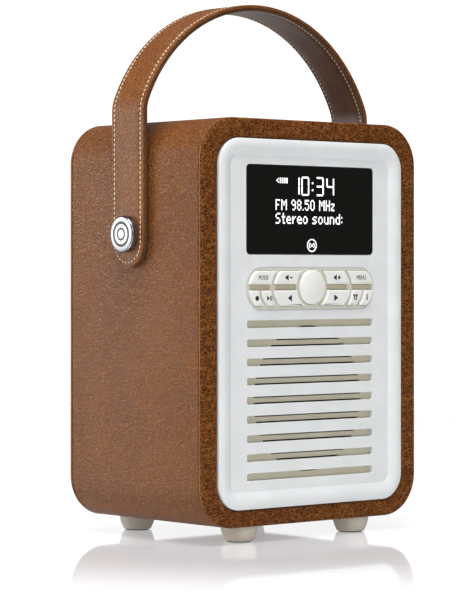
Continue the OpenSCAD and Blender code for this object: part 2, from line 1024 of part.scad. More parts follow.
// The filled outline of the handle in X and Z, drawn in by inset.
module handle_shape(inset) {
    reach = 2 * arch_r;
    intersection() {
        translate([0, arch_z])
            circle(arch_r - inset, $fn = 180);
        translate([0, arch_z])
            polygon([
                [0, 0],
                [reach, reach * tan(shoulder_angle)],
                [reach, reach],
                [-reach, reach],
                [-reach, reach * tan(shoulder_angle)]
            ]);
    }
    for (sx = [-1, 1])
        translate([sx * shoulder_x, shoulder_z])
            circle(shoulder_r - inset);
    translate([-strap_x + inset, pivot_z - 2 * strap_tail])
        square([2 * (strap_x - inset), shoulder_z - pivot_z + 2 * strap_tail]);
}

// One layer of the strap, from inset to inset + t, with round ends and pivot holes.
module strap_layer(inset, t) {
    intersection() {
        difference() {
            slab(-strap_w / 2, strap_w / 2)
                difference() {
                    handle_shape(inset);
                    handle_shape(inset + t);
                }
            x_bar(pivot_d / 2 + running, -body_w, body_w, 0, pivot_z);
        }
        plank(-body_w, body_w) {
            translate([-strap_w / 2, strap_end_z])
                square([strap_w, arch_top]);
            translate([0, strap_end_z])
                circle(strap_w / 2);
        }
    }
}

module handle_strap() {
    color("sienna")
        strap_layer(0, strap_t);
}

module handle_lining() {
    color("saddlebrown")
        strap_layer(strap_t, lining_t);
}

module stud(side) {
    color("silver")
        translate([side * strap_x, 0, pivot_z])
            rotate([0, side * 90, 0])
                rotate_extrude()
                    difference() {
                        polygon([
                            [0, 0], [stud_d / 2, 0], [stud_d / 2, stud_h - stud_round],
                            [stud_d / 2 - 0.3 * stud_round, stud_h - 0.3 * stud_round],
                            [stud_d / 2 - stud_round, stud_h], [0, stud_h]
                        ]);
                        translate([stud_d / 2 - 3, stud_h - ring_depth])
                            square([ring_w, stud_h]);
                    }
}

module stud_left() { stud(-1); }
module stud_right() { stud(1); }

module pivot_posts() {
    color("silver")
        for (side = [-1, 1])
            mirror([side < 0 ? 1 : 0, 0, 0])
                x_bar(pivot_d / 2, case_w / 2 - case_t - nut_t - post_in,
                    strap_x - loose, 0, pivot_z);
}

module pivot_washers() {
    color("dimgray")
        for (side = [-1, 1])
            mirror([side < 0 ? 1 : 0, 0, 0])
                difference() {
                    x_bar(washer_r, body_w / 2, body_w / 2 + washer_t, 0, pivot_z);
                    x_bar(pivot_d / 2, body_w / 2 - past, body_w / 2 + past, 0, pivot_z);
                }
}

module pivot_nuts() {
    color("silver")
        for (side = [-1, 1])
            mirror([side < 0 ? 1 : 0, 0, 0])
                difference() {
                    translate([case_w / 2 - case_t - nut_t, 0, pivot_z])
                        rotate([0, 90, 0])
                            cylinder(r = nut_r, h = nut_t, $fn = 6);
                    x_bar(pivot_d / 2, body_w / 4, body_w / 2, 0, pivot_z);
                }
}

// ---- placing -------------------------------------------------------------------

cabinet();
leather_sleeve();
leather_front();
leather_back();
fascia();
grille_insert();
grille_cloth();
display_window();
display_module();
keypad_mat();
keypad_board();
speaker_gasket();
speaker_frame();
speaker_surround();
speaker_cone();
speaker_dust_cap();
speaker_magnet();
speaker_screws();
main_board();
rear_cover();
rear_screws();
battery_pack();
dc_inlet();
headphone_socket();
line_socket();
antenna_base();
antenna_pin();
antenna_outer();
antenna_middle();
antenna_inner();
power_button();
battery_door();
foot_front_left();
foot_front_right();
foot_back_left();
foot_back_right();
foot_pads();
foot_screws();
pivot_posts();
pivot_nuts();
pivot_washers();
handle_strap();
handle_lining();
stud_left();
stud_right();
key_mode();
key_volume_down();
key_volume_up();
key_menu();
key_preset();
key_play();
key_previous();
key_next();
key_alarm();
key_info();
select_button();
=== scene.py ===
# %% [markdown]
# # A leather portable radio
#
# This notebook dresses a small leather-covered radio. The solid design already exists:
# every part has a name, a place and a body that it moves with. We load it as a fixed
# frame, keep the parts whose shape is already right, and build finer shapes for the
# ones the eye rests on: the leather, the strap with its stitching, the white front,
# the keys, the display and the fittings at the rear.
#
# Everything is in metres, in the frame of the design, so nothing has to be fitted. Only
# the printed symbols and the readout are drawn in millimetres first.

# %% The frame
import json
import math

import bmesh
import bpy
from mathutils import Matrix, Vector


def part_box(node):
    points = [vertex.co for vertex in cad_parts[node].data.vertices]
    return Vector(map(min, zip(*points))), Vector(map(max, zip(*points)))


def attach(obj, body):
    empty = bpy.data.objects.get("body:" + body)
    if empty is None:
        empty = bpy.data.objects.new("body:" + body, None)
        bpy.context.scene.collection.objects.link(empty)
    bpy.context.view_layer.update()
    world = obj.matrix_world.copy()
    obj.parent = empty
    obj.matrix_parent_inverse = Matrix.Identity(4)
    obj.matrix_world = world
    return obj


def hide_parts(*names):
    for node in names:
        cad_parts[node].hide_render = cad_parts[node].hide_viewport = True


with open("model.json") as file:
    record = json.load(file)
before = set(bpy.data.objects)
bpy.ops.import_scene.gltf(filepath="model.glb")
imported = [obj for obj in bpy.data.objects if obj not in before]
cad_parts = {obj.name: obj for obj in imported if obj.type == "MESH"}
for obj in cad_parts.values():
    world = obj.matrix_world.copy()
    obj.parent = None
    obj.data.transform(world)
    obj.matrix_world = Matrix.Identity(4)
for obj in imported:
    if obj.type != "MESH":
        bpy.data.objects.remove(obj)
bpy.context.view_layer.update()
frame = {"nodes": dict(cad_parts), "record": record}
record = frame["record"]
MM = 0.001

# %% [markdown]
# ## A small language for shaders
#
# A material is a graph of nodes, and a graph is tedious to write link by link. So we
# wrap a socket in a class that knows arithmetic: `0.4 + 0.2 * cloud` then makes the
# Math nodes by itself. `Graph.add` makes any other node: its type, then its settings,
# then what goes into its sockets.

# %% Shader arithmetic
class Value:
    """A shader socket that can be used in arithmetic."""

    def __init__(self, graph, socket):
        self.graph = graph
        self.socket = socket

    def math(self, operation, other, swap=False):
        node = self.graph.tree.nodes.new("ShaderNodeMath")
        node.operation = operation
        for slot, item in zip(node.inputs, [other, self] if swap else [self, other]):
            self.graph.feed(slot, item)
        return Value(self.graph, node.outputs[0])

    def __add__(self, other): return self.math("ADD", other)
    def __radd__(self, other): return self.math("ADD", other)
    def __sub__(self, other): return self.math("SUBTRACT", other)
    def __rsub__(self, other): return self.math("SUBTRACT", other, swap=True)
    def __mul__(self, other): return self.math("MULTIPLY", other)
    def __rmul__(self, other): return self.math("MULTIPLY", other)

    def band(self, low, high):
        """0 below low, 1 above high, smooth between."""
        node = self.graph.add("ShaderNodeMapRange", {"interpolation_type": "SMOOTHSTEP"},
                              Value=self, From_Min=low, From_Max=high)
        return Value(self.graph, node.outputs["Result"])


print("shader arithmetic ready")

# %% [markdown]
# ## A material's graph
#
# Every finish begins the same way: new material, nodes on, textures in the piece's own
# coordinates. We could copy those lines into each finish, but a class with a few named
# steps keeps a finish down to what is special about it.

# %% A material's graph
class Graph:
    """A material's node tree, with a Principled shader at its end, or the world's."""

    def __init__(self, name, kind=bpy.data.materials, shader="Principled BSDF"):
        self.material = kind.new(name)
        self.material.use_nodes = True
        self.tree = self.material.node_tree
        self.shader = self.tree.nodes[shader]

    def feed(self, slot, item):
        if isinstance(item, Value):
            self.tree.links.new(item.socket, slot)
        elif item is not None:
            slot.default_value = item

    def add(self, kind, settings=None, **sockets):
        node = self.tree.nodes.new(kind)
        for name, value in (settings or {}).items():
            setattr(node, name, value)
        for name, item in sockets.items():
            self.feed(node.inputs[name.replace("_", " ")], item)
        return node

    def place(self, stretch=(1, 1, 1)):
        """The piece's own coordinates in metres, stretched."""
        here = self.add("ShaderNodeTexCoord").outputs["Object"]
        node = self.add("ShaderNodeMapping", Vector=Value(self, here), Scale=stretch)
        return Value(self, node.outputs["Vector"])

    def noise(self, size, where=None, detail=3.0, rough=0.55, distortion=0.0):
        """A cloud whose features are about `size` metres."""
        node = self.add("ShaderNodeTexNoise", Vector=where or self.place(), Scale=1 / size,
                        Detail=detail, Roughness=rough, Distortion=distortion)
        return Value(self, node.outputs["Fac"])

    def cells(self, size, where=None, feature="F1"):
        """A pattern of cells about `size` metres wide: the distance from their points or edges."""
        node = self.add("ShaderNodeTexVoronoi", {"feature": feature},
                        Vector=where or self.place(), Scale=1 / size)
        return Value(self, node.outputs["Distance"])

    def warp(self, where, size, amount):
        """Coordinates pushed about by a coloured cloud."""
        cloud = self.add("ShaderNodeTexNoise", Vector=where, Scale=1 / size, Detail=2.0)
        push = self.add("ShaderNodeVectorMath", {"operation": "SCALE"},
                        Vector=Value(self, cloud.outputs["Color"]), Scale=amount)
        total = self.add("ShaderNodeVectorMath", {"operation": "ADD"}, Vector=where)
        self.tree.links.new(push.outputs[0], total.inputs[1])
        return Value(self, total.outputs[0])

    def blend(self, factor, first, second):
        """A colour between two colours."""
        node = self.add("ShaderNodeMix", {"data_type": "RGBA"})
        self.feed(node.inputs[0], factor)
        for slot, item in ((node.inputs[6], first), (node.inputs[7], second)):
            self.feed(slot, (*item, 1.0) if isinstance(item, tuple) else item)
        return Value(self, node.outputs[2])

    def bump(self, height, distance):
        """A normal bent by a height that runs from 0 to 1 over `distance` metres."""
        node = self.add("ShaderNodeBump", Height=height, Distance=distance, Strength=1.0)
        return Value(self, node.outputs["Normal"])

    def finish(self, **inputs):
        """Feeds the last shader, whose sockets are named with _ for a space."""
        for name, item in inputs.items():
            slot = self.shader.inputs[name.replace("_", " ")]
            self.feed(slot, (*item, 1.0) if isinstance(item, tuple) and len(item) == 3 else item)
        return self.material

# %% [markdown]
# ## Leather
#
# Pressed grain is a net of fine wandering creases with small islands between them. The
# edges of a Voronoi pattern make such a net, once a cloud has pushed its cells out of
# shape. A coarse net gives the folds, a fine one the grain, and a cloud the pores. The
# creases are also painted paler: partly worn finish, partly a painted highlight for the
# light that the grain catches.

# %% Leather
def leather(name, deep, mid, wear_and_highlight_colour, grain=1.6 * MM, stretch=(1, 1, 1), depth=0.10 * MM,
            fold=0.5, wear_and_highlight_share=0.25, rough=0.42, sheen=(1, 1, 1), level=0.4):
    g = Graph(name)
    crease_width, fold_width, fold_size = 0.17, 0.10, grain * 3.4
    here = g.warp(g.place(stretch), grain * 1.7, grain * 1.6)
    net = 1.0 - g.cells(grain, here, "DISTANCE_TO_EDGE").band(0.0, crease_width)
    wide = g.warp(g.place(stretch), grain * 3, grain * 4)
    folds = 1.0 - g.cells(fold_size, wide, "DISTANCE_TO_EDGE").band(0.0, fold_width)
    pores = g.noise(grain * 0.5, here, 2.0)
    calm = g.noise(18 * MM, g.place(), 2.0).band(0.34, 0.60)
    tone = g.noise(30 * MM, g.place(), 3.0).band(0.3, 0.72)
    creases = net * (0.7 + 0.3 * calm) + folds * fold + pores * 0.5
    # paler creases: partly worn finish, partly painted highlight on the grain
    wear_and_highlight_mask = creases.band(0.2, 1.4) * wear_and_highlight_share
    dye = g.blend(tone, deep, mid)
    return g.finish(
        Base_Color=g.blend(wear_and_highlight_mask, dye, wear_and_highlight_colour),
        Roughness=rough + 0.08 * creases,
        Specular_IOR_Level=level,
        Specular_Tint=sheen,
        Normal=g.bump(creases, depth),
    )


print("grained leather ready")

# %% [markdown]
# ## Smooth leather
#
# The lining and the cut edges are finished hide without a pressed grain. The same net
# could be used with no depth, but a fine pore alone is closer to a shaved surface.

# %% Smooth leather
def smooth_leather(name, dark, light):
    """The lining: finished hide with only a fine pore."""
    g = Graph(name)
    here = g.place()
    pores = g.noise(0.5 * MM, here, 3.0)
    tone = g.noise(16 * MM, here, 3.0)
    return g.finish(
        Base_Color=g.blend(tone.band(0.3, 0.7), dark, light),
        Roughness=0.42 + 0.14 * pores,
        Normal=g.bump(pores, 0.05 * MM),
    )

# %% [markdown]
# ## Plastics and metals
#
# Moulded plastic is never quite even: it has a faint orange peel and a few rubbed spots
# where the sheen changes. Metal gets fine lines along its turning direction.

# %% Plastics and metals
def moulded(name, colour, rough=0.38, peel=0.02 * MM, coat=0.0, sub=0.0):
    g = Graph(name)
    here = g.place()
    ripple = g.noise(0.9 * MM, here, 2.0)
    handled = g.noise(14 * MM, here, 3.0)
    darker = tuple(c * 0.94 for c in colour)
    return g.finish(
        Base_Color=g.blend(handled.band(0.3, 0.75), darker, colour),
        Roughness=rough + 0.10 * handled - 0.05,
        Normal=g.bump(ripple, peel),
        Coat_Weight=coat,
        Coat_Roughness=0.12,
        Subsurface_Weight=sub,
        Subsurface_Scale=0.6 * MM,
    )


def metal(name, colour, rough=0.28, lines=(1, 1, 1)):
    g = Graph(name)
    brushed = g.noise(0.25 * MM, g.place(lines), 4.0, 0.7)
    cloud = g.noise(5 * MM, g.place(), 2.0)
    return g.finish(
        Base_Color=g.blend(cloud, tuple(c * 0.9 for c in colour), colour),
        Metallic=1.0,
        Roughness=rough + 0.12 * brushed + 0.06 * cloud - 0.08,
        Normal=g.bump(brushed, 0.012 * MM),
    )


print("plastics and metals ready")

# %% [markdown]
# ## Cloth, gloss, print and thread
#
# These are the small finishes, each with one idea: holes for the cloth, darkened as painted
# shade, smears on the window, a steady glow for the readout and a twist along the thread.

# %% Cloth, gloss, print and thread
def woven(name, colour):
    g = Graph(name)
    weave = g.cells(0.7 * MM)
    return g.finish(
        # darker where the weave opens: painted shade in its holes
        Base_Color=g.blend(weave, colour, tuple(c * 0.3 for c in colour)),
        Roughness=0.9,
        Normal=g.bump(weave, 0.2 * MM),
    )


def glossy_window(name):
    g = Graph(name)
    smears = g.noise(18 * MM, g.place(), 3.0, 0.6, 0.8)
    return g.finish(
        Base_Color=g.blend(smears, (0.0035, 0.0037, 0.0028), (0.006, 0.006, 0.005)),
        Roughness=0.05 + 0.05 * smears.band(0.45, 0.8),
        Specular_IOR_Level=0.35,
    )


def lit_print(name, colour, power):
    g = Graph(name)
    glow = g.noise(3 * MM, g.place(), 2.0)
    return g.finish(
        Base_Color=colour,
        Roughness=0.5,
        Emission_Color=g.blend(glow, tuple(c * 0.9 for c in colour), colour),
        Emission_Strength=power,
    )


def sewing_thread(name, colour):
    g = Graph(name)
    twist = g.noise(0.3 * MM, g.place((1, 1, 2.5)), 2.0)
    return g.finish(
        Base_Color=g.blend(twist, tuple(c * 0.72 for c in colour), colour),
        Roughness=0.75,
        Normal=g.bump(twist, 0.08 * MM),
    )


print("kinds of material ready")

# %% [markdown]
# ## The finishes
#
# One dictionary holds the finish of every slot of the design, so a part can be dressed
# by its slot's name. The side and the strap are the same hide. The border is that hide
# with darker colours, as painted shade on the borders' faces, and it is duller. The inks
# are the few finishes that only our own pieces wear; some of them carry painted highlight and
# shade.

# %% Finishes
HIDE_DEEP = (0.122, 0.033, 0.0043)
HIDE_MID = (0.154, 0.043, 0.0056)
# colour of the paler creases: worn finish and painted highlight on the grain
HIDE_WEAR_AND_HIGHLIGHT = (0.42, 0.165, 0.040)
# the border's darker colours are painted shade on the borders' faces; the hide is the side's
SHADED_BORDER_DEEP = (0.072, 0.018, 0.003)
SHADED_BORDER_MID = (0.100, 0.026, 0.004)
WARM_SHEEN = (1.0, 0.98, 0.80)
finishes = {
    "leather_side": leather("side_leather", HIDE_DEEP, HIDE_MID, HIDE_WEAR_AND_HIGHLIGHT, grain=1.35 * MM,
                            stretch=(1, 0.7, 1.2), depth=0.30 * MM, fold=0.3, wear_and_highlight_share=0.32,
                            rough=0.36, sheen=WARM_SHEEN, level=0.34),
    "leather_border": leather("shaded_border_leather", SHADED_BORDER_DEEP, SHADED_BORDER_MID, HIDE_WEAR_AND_HIGHLIGHT,
                              grain=1.5 * MM, stretch=(0.7, 1, 1.2), depth=0.30 * MM, fold=0.4,
                              wear_and_highlight_share=0.52, rough=0.42, level=0.06),
    "strap_leather": leather("strap_hide", HIDE_DEEP, HIDE_MID, HIDE_WEAR_AND_HIGHLIGHT, grain=1.3 * MM,
                             depth=0.14 * MM, fold=0.25, wear_and_highlight_share=0.34, rough=0.36,
                             sheen=WARM_SHEEN, level=0.34),
    "strap_lining": smooth_leather("lining_hide", (0.060, 0.024, 0.008), (0.095, 0.040, 0.014)),
    "white_plastic": moulded("white_shell", (0.785, 0.80, 0.80), rough=0.36, sub=0.05),
    "cream_plastic": moulded("cream_insert", (0.62, 0.59, 0.44), rough=0.45),
    "key_plastic": moulded("key_cap", (0.86, 0.86, 0.81), rough=0.34, coat=0.15),
    "foot_plastic": moulded("foot_grey", (0.55, 0.50, 0.41), rough=0.45),
    "dark_plastic": moulded("dark_shell", (0.022, 0.022, 0.025), rough=0.42),
    "case_plastic": moulded("case_shell", (0.06, 0.05, 0.045), rough=0.6),
    "window_black": glossy_window("display_gloss"),
    "rubber": moulded("black_rubber", (0.02, 0.02, 0.02), rough=0.75, peel=0.05 * MM),
    "mat_rubber": moulded("tan_rubber", (0.62, 0.57, 0.40), rough=0.6),
    "cloth": woven("grille_weave", (0.012, 0.012, 0.010)),
    "circuit_board": moulded("board_green", (0.015, 0.11, 0.045), rough=0.35),
    "paper_cone": moulded("cone_pulp", (0.05, 0.05, 0.05), rough=0.85, peel=0.08 * MM),
    "speaker_steel": metal("painted_basket", (0.10, 0.10, 0.11), rough=0.5),
    "magnet": metal("ferrite", (0.12, 0.12, 0.13), rough=0.55),
    "stud_metal": metal("satin_nickel", (0.26, 0.26, 0.28), rough=0.24),
    "screw_steel": metal("zinc_steel", (0.55, 0.55, 0.56), rough=0.34),
    "antenna_chrome": metal("bright_chrome", (0.80, 0.80, 0.82), rough=0.12, lines=(1, 1, 12)),
    "battery_wrap": moulded("battery_film", (0.05, 0.13, 0.30), rough=0.3, coat=0.4),
}
inks = {
    # pale bead at the border's edge: worn edge and painted highlight along the corner
    "edge": smooth_leather("worn_edge_and_painted_highlight", (0.17, 0.058, 0.012), (0.36, 0.15, 0.045)),
    # beige web round the keys: painted shade in the gaps between them
    "web": moulded("key_web", (0.68, 0.67, 0.57), rough=0.5),
    "glow": lit_print("readout_glow", (0.95, 0.97, 1.0), 1.0),
    # print on the keys, and painted shade in the stud grooves and the screw crosses
    "ink_and_shade": moulded("print_and_painted_shade", (0.012, 0.012, 0.012), rough=0.5),
    "thread": sewing_thread("cream_thread", (0.72, 0.60, 0.43)),
}
print("materials:", len(finishes) + len(inks))

# %% [markdown]
# Every part of the design first gets the finish of its slot. The parts that we rebuild
# below are hidden later, when their finer piece takes over.

# %% Finishes for the design's own parts
slot_of = {part["node"]: part["material_slot"] for part in record["subparts"]}
for node, thing in frame["nodes"].items():
    thing.data.materials.clear()
    thing.data.materials.append(finishes[slot_of[node]])
print("parts finished:", len(slot_of))

# %% [markdown]
# ## Places and pieces
#
# A piece takes its place from the box of the design's part that it stands for. We could
# type those numbers in, but then they would go wrong when the design changes. When a
# piece is made, it is also told which body it rides and which parts it replaces.

# %% Places and pieces
def corners(node):
    """The lowest and the highest corner of a part of the design."""
    return [Vector(corner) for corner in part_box(node)]


def middle(node):
    low, high = corners(node)
    return (low + high) / 2


def joined(name, meshes):
    """Several meshes as one."""
    work = bmesh.new()
    for mesh in meshes:
        work.from_mesh(mesh)
    whole = bpy.data.meshes.new(name)
    work.to_mesh(whole)
    work.free()
    return whole


def new_piece(name, shape, body, slot, nodes=(), material=None, sharp=38):
    """Puts a mesh, or several as one, in the scene and says what it is, what it rides
    and what it replaces. Edges bent by more than `sharp` degrees stay crisp."""
    mesh = joined(name, shape) if isinstance(shape, list) else shape
    mesh.materials.clear()
    mesh.materials.append(material or finishes[slot])
    mesh.polygons.foreach_set("use_smooth", [True] * len(mesh.polygons))
    mesh.set_sharp_from_angle(angle=math.radians(sharp))
    piece = bpy.data.objects.new(name, mesh)
    bpy.context.scene.collection.objects.link(piece)
    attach(piece, body)
    if nodes:
        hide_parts(*nodes)


print("helpers for pieces ready")

# %% [markdown]
# ## Rings and lofts
#
# Most of this radio is rounded rectangles stacked or nested. `rounded_ring` gives the
# points of one, and `loft` joins a list of rings with faces, which could also be done
# by bridging edge loops by hand.

# %% Rings and lofts
def rounded_ring(w, h, r, x=0.0, z=0.0, per_corner=16):
    """Points round a rectangle with round corners, as (x, z), anticlockwise."""
    points = []
    for turn, (sx, sz) in enumerate(((1, 1), (-1, 1), (-1, -1), (1, -1))):
        for i in range(per_corner + 1):
            angle = math.radians(90 * turn + 90 * i / per_corner)
            points.append((x + sx * (w / 2 - r) + r * math.cos(angle),
                           z + sz * (h / 2 - r) + r * math.sin(angle)))
    return points


def loft(name, rings, closed=False, caps=False):
    """A mesh through rings of equal length. closed joins the last ring to the first."""
    count = len(rings[0])
    verts = [p for ring in rings for p in ring]
    faces = []
    for a in range(len(rings) if closed else len(rings) - 1):
        b = (a + 1) % len(rings)
        for i in range(count):
            j = (i + 1) % count
            faces.append((a * count + i, a * count + j, b * count + j, b * count + i))
    if caps:
        faces.append(tuple(reversed(range(count))))
        faces.append(tuple((len(rings) - 1) * count + i for i in range(count)))
    mesh = bpy.data.meshes.new(name)
    mesh.from_pydata(verts, [], faces)
    work = bmesh.new()
    work.from_mesh(mesh)
    bmesh.ops.recalc_face_normals(work, faces=work.faces)
    work.to_mesh(mesh)
    work.free()
    return mesh


def upright(loop, y):
    """A flat loop of (x, z) stood up at depth y."""
    return [(x, y, z) for x, z in loop]


def between(first, second, share, y):
    """A ring part of the way from one ring to another."""
    return [(a[0] + (b[0] - a[0]) * share, y, a[2] + (b[2] - a[2]) * share)
            for a, b in zip(first, second)]


print("helpers for rings ready")

# %% [markdown]
# ## Plates and turned shapes
#
# A plate with holes could be cut with booleans. A flat curve is cleaner: it fills an
# outline, leaves its inner loops open and rounds every edge by itself. Round shapes are
# turned from a profile, as on a lathe.

# %% Plates and turned shapes
CRISP = 32
on_axis = 0.001 * MM
BACKWARD, FORWARD, UPWARD = (0, 1, 0), (0, -1, 0), (0, 0, 1)


def box_loop(x, z, w, h):
    """A plain rectangle round x and z."""
    return [(x - w / 2, z - h / 2), (x + w / 2, z - h / 2),
            (x + w / 2, z + h / 2), (x - w / 2, z + h / 2)]


def disc_loop(r, x, z, steps=64):
    return [(x + r * math.cos(2 * math.pi * i / steps), z + r * math.sin(2 * math.pi * i / steps))
            for i in range(steps)]


def plate(name, loops, front, back, edge=0.3 * MM, steps=3):
    """A plate with holes and rounded edges. The first loop is its outline."""
    curve = bpy.data.curves.new(name, "CURVE")
    curve.dimensions = "2D"
    curve.fill_mode = "BOTH"
    curve.extrude = (back - front) / 2 - edge
    curve.bevel_depth = edge
    curve.bevel_resolution = steps
    curve.offset = -edge
    for loop in loops:
        spline = curve.splines.new("POLY")
        spline.points.add(len(loop) - 1)
        for point, (x, z) in zip(spline.points, loop):
            point.co = (x, z, 0, 1)
        spline.use_cyclic_u = True
    return stand_up(name, curve, (front + back) / 2)


def stand_up(name, curve, y):
    """Turns a flat curve or text to face the front, as a mesh in its place."""
    maker = bpy.data.objects.new(name + "_maker", curve)
    bpy.context.scene.collection.objects.link(maker)
    bpy.context.view_layer.update()
    mesh = bpy.data.meshes.new_from_object(maker.evaluated_get(
        bpy.context.evaluated_depsgraph_get()))
    bpy.data.objects.remove(maker)
    mesh.name = name
    mesh.transform(Matrix.Translation((0, y, 0)) @ Matrix.Rotation(math.pi / 2, 4, "X"))
    return mesh


def turned(name, profile, centre, axis, steps=64, hollow=False):
    """A shape turned on a lathe: profile is (radius, height) along the axis.
    A hollow one joins its last point to its first, as a ring."""
    turn = Vector((0, 0, 1)).rotation_difference(Vector(axis)).to_matrix()
    rings = []
    for r, h in profile:
        ring = []
        for i in range(steps):
            a = 2 * math.pi * i / steps
            ring.append(Vector(centre) + turn @ Vector((r * math.cos(a), r * math.sin(a), h)))
        rings.append(ring)
    return loft(name, rings, closed=hollow, caps=not hollow)


def arc_profile(cx, cy, r, start, end, steps=6):
    """Points (x, y) along an arc, angles in degrees."""
    return [(cx + r * math.cos(math.radians(start + (end - start) * i / steps)),
             cy + r * math.sin(math.radians(start + (end - start) * i / steps)))
            for i in range(steps + 1)]


print("helpers for plates and turned shapes ready")

# %% [markdown]
# ## Measures from the frame
#
# These are the places that the pieces share. Most of them come from the design's boxes.
# A few corner radii, the frame's width, the panel's depth and the gap are given here, because a box
# doesn't show them.

# %% Measures
BODY = "radio_body"
body_low, body_high = corners("leather_sleeve")
fascia_low, fascia_high = corners("fascia")
window_low, window_high = corners("display_window")
insert_low, insert_high = corners("grille_insert")
body_w = body_high.x - body_low.x
body_h = body_high.z - body_low.z
body_mid = (body_high.z + body_low.z) / 2
fascia_w = fascia_high.x - fascia_low.x
fascia_h = fascia_high.z - fascia_low.z
fascia_mid = (fascia_high.z + fascia_low.z) / 2
rim_y = fascia_low.y
panel_back = insert_low.y
body_r = 18 * MM
fascia_r = 11.5 * MM
rim_w = 7.4 * MM
panel_sink = 1.6 * MM
panel_y = rim_y + panel_sink
gap = 0.35 * MM
print("body in mm:", round(body_w / MM, 1), round(body_h / MM, 1),
      "panel depth:", round(panel_y / MM, 2))

# %% [markdown]
# ## The leather body
#
# The sleeve is one long sheet round the four sides. At each end it meets a padded
# border, which turns over the edge and rolls into the opening. The roll is what makes
# leather look thick, so the border has a small radius outside and a softer one inside.

# %% Leather sleeve
def body_ring(inset, y):
    return upright(rounded_ring(body_w - 2 * inset, body_h - 2 * inset, body_r - inset,
                                z=body_mid), y)


def opening_ring(grow, y):
    return upright(rounded_ring(fascia_w + 2 * gap + 2 * grow, fascia_h + 2 * gap + 2 * grow,
                                fascia_r + gap + grow, z=fascia_mid), y)


def leather_sleeve():
    wall = 1.4 * MM
    roll = 0.25 * MM
    front, back = body_low.y, body_high.y
    rings = [body_ring(wall, front), body_ring(roll, front)]
    rings += [body_ring(roll - roll * math.sin(math.radians(a)),
                        front + roll - roll * math.cos(math.radians(a))) for a in (30, 60, 90)]
    rings += [body_ring(roll - roll * math.cos(math.radians(a)),
                        back - roll + roll * math.sin(math.radians(a))) for a in (0, 30, 60, 90)]
    rings += [body_ring(wall, back)]
    mesh = loft("sleeve_wrap", rings, closed=True)
    new_piece("sleeve_wrap", mesh, BODY, "leather_side", ["leather_sleeve"])


leather_sleeve()
print("sleeve made")

# %% [markdown]
# ## Leather borders
#
# Each border is one closed loft: from its root along the outside, over a round edge,
# across the face and down into the opening. A bevel modifier could round the edges, but
# the two need different radii, and a list of rings says them plainly.

# %% Leather borders
def leather_border(name, node, facing):
    """facing is -1 for the front border and +1 for the back one."""
    low, high = corners(node)
    face, root = (low.y, high.y) if facing < 0 else (high.y, low.y)
    outer, inner, soft = 1.3 * MM, 1.0 * MM, 0.12 * MM

    def at(depth):
        return face - facing * depth

    rings = [body_ring(0.2 * MM, root), body_ring(0, at(abs(face - root) - 0.2 * MM))]
    for a in range(0, 91, 15):
        rings.append(body_ring(outer * (1 - math.cos(math.radians(a))),
                               at(soft + outer - outer * math.sin(math.radians(a)))))
    for share in (0.3, 0.55, 0.8):
        rings.append(between(body_ring(outer, 0), opening_ring(inner, 0), share,
                             at(soft * (1 - math.sin(math.pi * share)))))
    for a in range(0, 91, 15):
        rings.append(opening_ring(inner * (1 - math.sin(math.radians(a))),
                                  at(soft + inner - inner * math.cos(math.radians(a)))))
    rings.append(opening_ring(0, root))
    mesh = loft(name, rings, closed=True)
    new_piece(name, mesh, BODY, "leather_border", [node])


def folded_edge(name, node, facing):
    """The fine bead where the sleeve's edge is folded under the border, coloured pale as worn edge
    and painted highlight.
    """
    low, high = corners(node)
    face = low.y if facing < 0 else high.y
    bead = 0.32 * MM
    back = 1.5 * MM
    rings = [body_ring(bead * 0.8 - bead * math.cos(a), face - facing * (back + bead * math.sin(a)))
             for a in (math.radians(30 * i) for i in range(12))]
    new_piece(name, loft(name, rings, closed=True), BODY, "leather_border", material=inks["edge"])


leather_border("front_border", "leather_front", -1)
leather_border("back_border", "leather_back", 1)
folded_edge("front_edge", "leather_front", -1)
folded_edge("back_edge", "leather_back", 1)
print("borders and folded edges made")

# %% [markdown]
# ## Outlines of the keys
#
# The ten keys share one stadium with the round key in its middle. Their sides bulge
# outward like the stadium's own ends, so a key is described by its row, where its side
# starts and where the next key starts. The fascia needs the same outlines a little
# larger, as openings, so they are made by one function with a `grow` argument.

# %% Key rows
hem = 0.5 * MM
key_clear = 0.18 * MM
key_gap = 1.4 * MM
mat_low, mat_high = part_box("keypad_mat")
keypad_mid = (mat_low[2] + mat_high[2]) / 2
keypad_w, keypad_h = mat_high[0] - mat_low[0], mat_high[2] - mat_low[2]
keypad_r = keypad_h / 2
round_low, round_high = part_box("select_button")
select_r = (round_high[0] - round_low[0]) / 2 - hem
select_up = (round_low[2] + round_high[2]) / 2 - keypad_mid
select_gap = 1.7 * MM
well_depth = 0.8 * MM


def row_of(node):
    """The lower and upper edge of a key's row, from the middle of the keypad."""
    low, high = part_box(node)
    return low[2] + hem - keypad_mid, high[2] - hem - keypad_mid


def start_of(node):
    """Where a left-hand key's bulging side would reach furthest out."""
    nearest = min(abs(edge) for edge in row_of(node)) - hem
    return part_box(node)[0][0] - keypad_r + math.sqrt((keypad_r + hem) ** 2 - nearest ** 2)


upper_row, lower_row = row_of("key_mode"), row_of("key_play")
outer_from, inner_from = start_of("key_mode"), start_of("key_volume_down")
small_from = start_of("key_play")


print("rows and starts of the keys in mm:", [round(v / MM, 2) for v in (outer_from, inner_from)])

# %% [markdown]
# ## The outline of one key
#
# A key's outline is its two sides, joined straight, with the four corners rounded
# afterwards. Booleans could cut the keys from a stadium, but then the rounding would be
# harder to keep even. A key on the right is a left one mirrored.

# %% Outline of one key
def bulge_x(start, grow, z):
    """The outward bulging side of a key, whose furthest point is at start."""
    return start + keypad_r - math.sqrt((keypad_r + grow) ** 2 - z * z)


